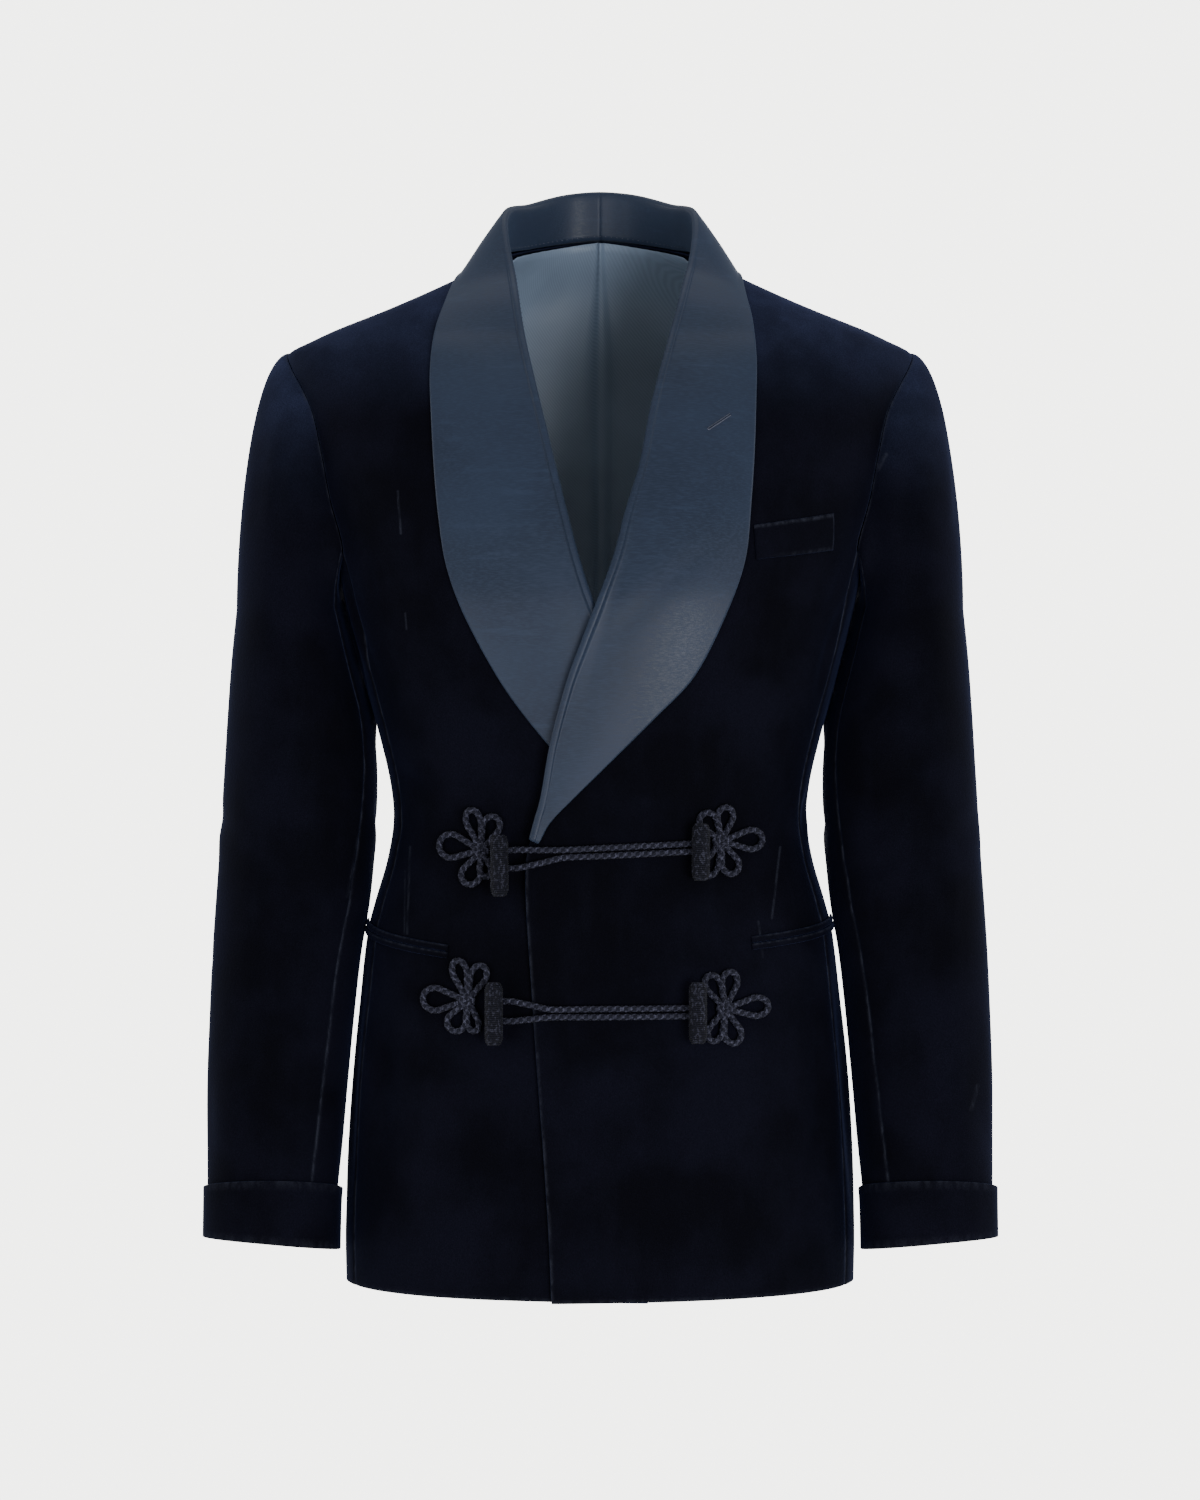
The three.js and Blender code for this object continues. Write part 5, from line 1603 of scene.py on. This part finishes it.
def satin_paint():
    """Ribbed satin with a soft gloss, a fine grain across it and faint slubs."""
    paint = Paint("Slate satin")
    clouds = paint.noise(11, 3.0)
    grain = paint.noise(1400, 2.0, stretch=(0.12, 1, 1), turn=(0, 0.5, 0))
    rib = paint.noise(2300, 1.0, stretch=(1, 1, 0.08), turn=(0, 0.5, 0))
    slub = paint.span(paint.noise(160, 4.0, stretch=(0.1, 1, 1), turn=(0, 0.5, 0)), 0.56, 0.75)
    drift = paint.span(clouds, 0.3, 0.7)
    colour = paint.blend(drift, colour_of("satin", 0.86), colour_of("satin", 1.14))
    grained = paint.times(paint.span(grain, 0.4, 0.68), 0.45)
    colour = paint.blend(grained, colour, colour_of("satin", 1.5))
    colour = paint.blend(paint.times(slub, 0.25), colour, colour_of("satin", 1.9))
    ribbed = paint.bump(rib, 0.12, 0.0002)
    return paint.finish(
        colour,
        paint.span(grain, 0.3, 0.7, 0.36, 0.5),
        paint.bump(grain, 0.16, 0.00025, Normal=ribbed),
        Sheen_Weight=0.12,
        Sheen_Roughness=0.5,
        Sheen_Tint=(0.45, 0.62, 1.0, 1.0),
        Anisotropic=0.4,
        Specular_IOR_Level=0.28,
    )


def lining_paint():
    """Smooth twill with a fine slanted rib."""
    paint = Paint("Grey blue lining")
    clouds = paint.noise(9, 3.0)
    bands = {"wave_type": "BANDS", "bands_direction": "DIAGONAL"}
    inputs = {"Scale": 260, "Distortion": 0.6, "Vector": paint.place()}
    rib = paint.node("ShaderNodeTexWave", inputs, **bands).outputs["Fac"]
    drift = paint.span(clouds, 0.3, 0.7)
    colour = paint.blend(drift, colour_of("lining", 0.82), colour_of("lining", 1.18))
    colour = paint.blend(paint.times(rib, 0.22), colour, colour_of("lining", 1.6))
    roughness = paint.span(clouds, 0.3, 0.7, 0.38, 0.52)
    normal = paint.bump(rib, 0.15, 0.0002)
    return paint.finish(colour, roughness, normal, Anisotropic=0.3, Specular_IOR_Level=0.4)


def cord_paint(name, base, fleck, by_strand=False):
    """Twisted yarn: dark strands with some light flecks, and pairs of lighter strands."""
    paint = Paint(name)
    fibres = paint.noise(1900, 2.0)
    flecks = paint.span(paint.noise(620, 2.0, stretch=(1, 1, 0.55), turn=(0, 0.7, 0)), 0.53, 0.63)
    colour = paint.blend(paint.span(fibres, 0.3, 0.7), colour_of(base, 0.6), colour_of(base, 1.5))
    share = paint.times(flecks, 0.26)
    if by_strand:
        strand = paint.math("MODULO", paint.attribute("strand"), 4.0)
        light_strand = paint.math("LESS_THAN", strand, 1.5)
        share = paint.times(paint.math("ADD", flecks, 0.5), 0.42)
        share = paint.times(share, light_strand)
    colour = paint.blend(share, colour, colour_of(fleck))
    roughness = paint.span(fibres, 0.3, 0.7, 0.5, 0.72)
    normal = paint.bump(fibres, 0.4, 0.0002)
    return paint.finish(colour, roughness, normal, Specular_IOR_Level=0.2, Sheen_Weight=0.05)


def floor_paint():
    paint = Paint("Pale floor")
    grain = paint.noise(40, 3.0)
    colour = paint.blend(paint.span(grain, 0.3, 0.7), (0.82, 0.82, 0.8), (0.86, 0.86, 0.84))
    return paint.finish(colour, paint.span(grain, 0.3, 0.7, 0.6, 0.7), paint.bump(grain, 0.05, 0.001))


PAINTS = {}
PAINT_MAKERS = {
    "velvet": lambda: velvet_paint("Navy velvet", []),
    "velvet_front": lambda: velvet_paint("Navy velvet of the fronts", FRONT_LINES),
    "velvet_sleeve": lambda: velvet_paint("Navy velvet of the sleeves", SLEEVE_LINES),
    "satin": satin_paint,
    "lining": lining_paint,
    "cord": lambda: cord_paint("Braided cord", "cord", "cord_fleck", by_strand=True),
    "wrap": lambda: cord_paint("Wound thread", "wrap", "cord_fleck"),
    "thread": lambda: cord_paint("Sewing thread", "thread", "thread"),
}


def material_for(node, slot):
    """The finish of a piece, made once."""
    key = slot
    if slot == "velvet" and node.startswith("front"):
        key = "velvet_front"
    if slot == "velvet" and node.startswith("top_sleeve"):
        key = "velvet_sleeve"
    if key not in PAINTS:
        PAINTS[key] = PAINT_MAKERS[key]()
    return PAINTS[key]


def neck_stitches(over):
    """Hand stitches along the foot of the collar's stand, on the side of the neck."""
    side, word = SIDE_OF_FRONT[over]
    middle, keys, _, _ = collar_grid(over)
    behind = keys >= LAPEL_LAST_ROW - 1
    low, above = middle[behind, 0], middle[behind, 1]
    way = unit(above - low)
    normals = grid_normals(middle)[behind, 0]
    inward = np.array([0, TORSO(0)[3], 0]) - low
    facing = np.sign((normals * inward).sum(1, keepdims=True))
    away = normals * facing * (SATIN / 2 + STITCH_CLEAR)
    path = mirrored(low + way * STAND_STITCH_HEIGHT + away, side)
    name = "stand_stitches_" + word
    piece = grown_from(name, [path], "stitches", material_for(name, "thread"), **{
        "Stitch length": 0.0014,
        "Stitch radius": 0.00028,
        "Spacing": 0.0042,
        "Slant": 0.5,
    })
    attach(piece, BODY)


def buttonhole(collar):
    """The lapel's worked buttonhole, found on the satin by looking at it from the front."""
    mesh = collar.data
    corners = [v.co.copy() for v in mesh.vertices]
    tree = BVHTree.FromPolygons(corners, [list(p.vertices) for p in mesh.polygons])

    def on_satin(x, z):
        hit = tree.ray_cast(Vector((x * MM, -0.4, z * MM)), Vector((0, 1, 0)))
        if hit[0] is None:
            raise RuntimeError("the buttonhole misses the lapel")
        return np.array(hit[0]) / MM + np.array([0, -0.25, 0])

    inner, outer = np.array(BUTTONHOLE, float)
    way = unit(outer - inner)
    beside = np.array([-way[1], way[0]])
    half = 0.75
    turn = np.radians(np.linspace(90, 270, 7))
    length = np.linalg.norm(outer - inner)
    flat = [inner + way * a + beside * half for a in np.linspace(length, 0, 14)]
    flat += [inner + way * np.cos(t) * half + beside * np.sin(t) * half for t in turn[1:-1]]
    flat += [inner + way * a - beside * half for a in np.linspace(0, length, 14)]
    path = np.array([on_satin(*p) for p in flat])
    material = material_for("lapel_buttonhole", "thread")
    whip = grown_from("buttonhole_whip", [path], "stitches", material, **{
        "Stitch length": 0.0017,
        "Stitch radius": 0.00026,
        "Spacing": 0.00062,
        "Slant": float(np.pi / 2),
    })
    gimp = grown_from("buttonhole_gimp", [path], "thread", material, **{
        "Thread radius": 0.0003,
        "Spacing": 0.0008,
    })
    piece = joined("lapel_buttonhole", [whip, gimp])
    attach(piece, BODY)


def length_property(label, description, default):
    return FloatProperty(name=label, description=description, default=default, unit="LENGTH")


class JacketSizes(PropertyGroup):
    """Sizes that a user would change."""

    cloth_step: length_property(
        "Cloth spacing", "Distance between the points of a cloth shell", 0.0045
    )
    seam_depth: length_property("Seam depth", "How far the pile sinks at a seam", 0.0008)
    crease_depth: FloatProperty(
        name="Crease depth",
        description="Scale of the depth of all creases",
        default=1.0,
        subtype="FACTOR",
    )
    strand_radius: length_property(
        "Strand radius", "Radius of one strand of the braided cord", 0.00072
    )
    strands: IntProperty(
        name="Strands",
        description="Strands in the braided cord, half of them each way",
        default=8,
    )
    lay_length: length_property(
        "Lay length", "Length of cord in which a strand winds round once", 0.0115
    )
    wrap_spacing: length_property(
        "Wrap spacing", "Distance between the turns of thread on a toggle", 0.0014
    )


def colour_property(label, description, default):
    return FloatVectorProperty(
        name=label, description=description, subtype="COLOR", size=3, default=default
    )


class JacketColours(PropertyGroup):
    """Colours that a user would change."""

    velvet: colour_property("Velvet", "Pile seen from the front", (0.0038, 0.0039, 0.0086))
    # Painted sheen: the lighter colour put on the pile where light grazes it.
    bloom: colour_property("Velvet bloom", "Pile where light grazes it", (0.031, 0.04, 0.092))
    # Rubbed pile along seams and edges, with painted sheen where light catches the turned pile.
    worn_pile_and_sheen: colour_property("Worn pile", "Pile pressed along seams", (0.045, 0.05, 0.075))
    satin: colour_property("Satin", "Shawl collar", (0.0245, 0.0365, 0.069))
    lining: colour_property("Lining", "Back lining", (0.235, 0.31, 0.43))
    cord: colour_property("Cord", "Dark yarn of the frogs", (0.007, 0.0078, 0.019))
    wrap: colour_property("Toggle thread", "Thread wound on the toggles", (0.003, 0.0036, 0.0105))
    cord_fleck: colour_property("Cord flecks", "Light yarn of the frogs", (0.13, 0.134, 0.21))
    thread: colour_property("Thread", "Sewing thread", (0.11, 0.12, 0.17))


class JACKET_OT_torso(Operator):
    """Make the fronts, side panels and backs"""

    bl_idname = "jacket.torso"
    bl_label = "Fronts, sides and backs"

    def execute(self, context):
        make_front(True)
        make_front(False)
        for side, word in SIDES:
            make_side(side, word)
            make_back(side, word)
        return {"FINISHED"}


class JACKET_OT_lining(Operator):
    """Make the back lining with its pleat"""

    bl_idname = "jacket.lining"
    bl_label = "Back lining"

    def execute(self, context):
        make_lining()
        return {"FINISHED"}


class JACKET_OT_sleeves(Operator):
    """Make the two pieces of each sleeve"""

    bl_idname = "jacket.sleeves"
    bl_label = "Sleeves"

    def execute(self, context):
        for side, word in SIDES:
            make_sleeve("top_sleeve_" + word, side, HIND_SEAM, FORE_SEAM, 290)
            make_sleeve("under_sleeve_" + word, side, FORE_SEAM, HIND_SEAM + 360, 90)
        return {"FINISHED"}


class JACKET_OT_cuffs(Operator):
    """Make the turned-back cuffs"""

    bl_idname = "jacket.cuffs"
    bl_label = "Cuffs"

    def execute(self, context):
        for side, word in SIDES:
            make_cuff(side, word)
        return {"FINISHED"}


class JACKET_OT_collar(Operator):
    """Make both halves of the shawl collar, its stitches and the lapel's buttonhole"""

    bl_idname = "jacket.collar"
    bl_label = "Shawl collar"

    def execute(self, context):
        left = make_collar(True)
        make_collar(False)
        for over in (True, False):
            neck_stitches(over)
        buttonhole(left)
        return {"FINISHED"}


class JACKET_OT_pockets(Operator):
    """Make the hip pockets' jets and the breast pocket's welt"""

    bl_idname = "jacket.pockets"
    bl_label = "Pockets"

    def execute(self, context):
        for word, (inner, outer) in POCKETS.items():
            make_hip_pocket(word, inner, outer)
        make_welt()
        return {"FINISHED"}


class JACKET_OT_frogs(Operator):
    """Make the cord rosettes, toggles and loops of both frogs"""

    bl_idname = "jacket.frogs"
    bl_label = "Cord frogs"

    def execute(self, context):
        cord = material_for("cord", "cord")
        wrap = material_for("wrap", "wrap")
        for node, (centre, petals) in ROSETTES.items():
            make_rosette(node, centre, petals, cord)
        for node, (x, z, length) in TOGGLES.items():
            make_toggle(node, x, z, length, wrap)
        for node, (end, merge, turn) in LOOPS.items():
            make_loop(node, end, merge, turn, cord)
        return {"FINISHED"}


# Area lights: name, place in metres, size, power and the place that it looks at.
LIGHTS = (
    ("Key", (1.1, -2.6, -0.8), 1.2, 35, (0, 0, -0.45)),
    ("Fill", (-1.5, -2.0, -1.0), 1.2, 11, (0, 0, -0.5)),
    ("Top", (0, 0.2, 1.7), 1.5, 7, (0, 0, -0.2)),
    ("Left rim", (-2.2, 0.6, 0.2), 1.2, 15, (0, 0, -0.4)),
    ("Right rim", (2.2, 0.6, 0.2), 1.2, 15, (0, 0, -0.4)),
    ("Back", (0, 2.6, 0.3), 1.8, 16, (0, 0, -0.4)),
)
WORLD_COLOUR = (0.9, 0.9, 0.87)
WORLD_LIGHT = 0.42
WORLD_SEEN = 5.2
CAMERA_PLACE = (0, -3.4, -0.365)
LENS = 111.8
FLOOR_HEIGHT = -1.15
FLOOR_RADIUS = 1.3


class JACKET_OT_stage(Operator):
    """Make the camera, the pale floor and the soft lights"""

    bl_idname = "jacket.stage"
    bl_label = "Stage"

    def execute(self, context):
        scene = context.scene
        lens = bpy.data.cameras.new("Camera")
        lens.lens = LENS
        lens.sensor_width = SENSOR_WIDTH
        camera = placed("Camera", lens)
        camera.location = CAMERA_PLACE
        camera.rotation_euler = (np.pi / 2, 0, 0)
        scene.camera = camera
        turn = np.linspace(0, 2 * np.pi, FLOOR_CORNERS + 1)[:-1]
        rim = np.stack([np.cos(turn), np.sin(turn), 0 * turn], 1) * FLOOR_RADIUS
        mesh = bpy.data.meshes.new("floor")
        corners = (rim + np.array([0, 0, FLOOR_HEIGHT])).tolist()
        mesh.from_pydata(corners, [], [list(range(FLOOR_CORNERS))])
        mesh.materials.append(floor_paint())
        floor = placed("floor", mesh)
        for name, place, size, power, aim in LIGHTS:
            lamp = bpy.data.lights.new(name, "AREA")
            lamp.size = size
            lamp.energy = power
            holder = placed(name, lamp)
            holder.location = place
            way = Vector(aim) - Vector(place)
            holder.rotation_euler = way.to_track_quat("-Z", "Y").to_euler()
        world = bpy.data.worlds.new("Studio")
        world.use_nodes = True
        nodes, links = world.node_tree.nodes, world.node_tree.links
        background = nodes["Background"]
        background.inputs["Color"].default_value = (*WORLD_COLOUR, 1)
        seen = nodes.new("ShaderNodeLightPath").outputs["Is Camera Ray"]
        strength = nodes.new("ShaderNodeMapRange")
        strength.inputs["To Min"].default_value = WORLD_LIGHT
        strength.inputs["To Max"].default_value = WORLD_SEEN
        links.new(seen, strength.inputs["Value"])
        links.new(strength.outputs[0], background.inputs["Strength"])
        scene.world = world
        return {"FINISHED"}


OPERATORS = (
    JACKET_OT_stage,
    JACKET_OT_torso,
    JACKET_OT_lining,
    JACKET_OT_sleeves,
    JACKET_OT_cuffs,
    JACKET_OT_collar,
    JACKET_OT_pockets,
    JACKET_OT_frogs,
)


class JACKET_PT_pieces(Panel):
    """Lists the jacket's pieces, sizes and colours"""

    bl_idname = "JACKET_PT_pieces"
    bl_label = "Smoking jacket"
    bl_space_type = "VIEW_3D"
    bl_region_type = "UI"
    bl_category = "Jacket"

    def draw(self, context):
        for group in (context.scene.jacket_sizes, context.scene.jacket_colours):
            for key in group.bl_rna.properties.keys():
                if key not in ("rna_type", "name"):
                    self.layout.prop(group, key)
        for operator in OPERATORS:
            self.layout.operator(operator.bl_idname)


CLASSES = (JacketSizes, JacketColours, *OPERATORS, JACKET_PT_pieces)


def register():
    for made in CLASSES:
        bpy.utils.register_class(made)
    bpy.types.Scene.jacket_sizes = PointerProperty(type=JacketSizes)
    bpy.types.Scene.jacket_colours = PointerProperty(type=JacketColours)


def unregister():
    del bpy.types.Scene.jacket_colours
    del bpy.types.Scene.jacket_sizes
    for made in reversed(CLASSES):
        bpy.utils.unregister_class(made)


def main():
    register()
    for operator in OPERATORS:
        group, name = operator.bl_idname.split(".")
        getattr(getattr(bpy.ops, group), name)()


if __name__ == "__main__":
    main()
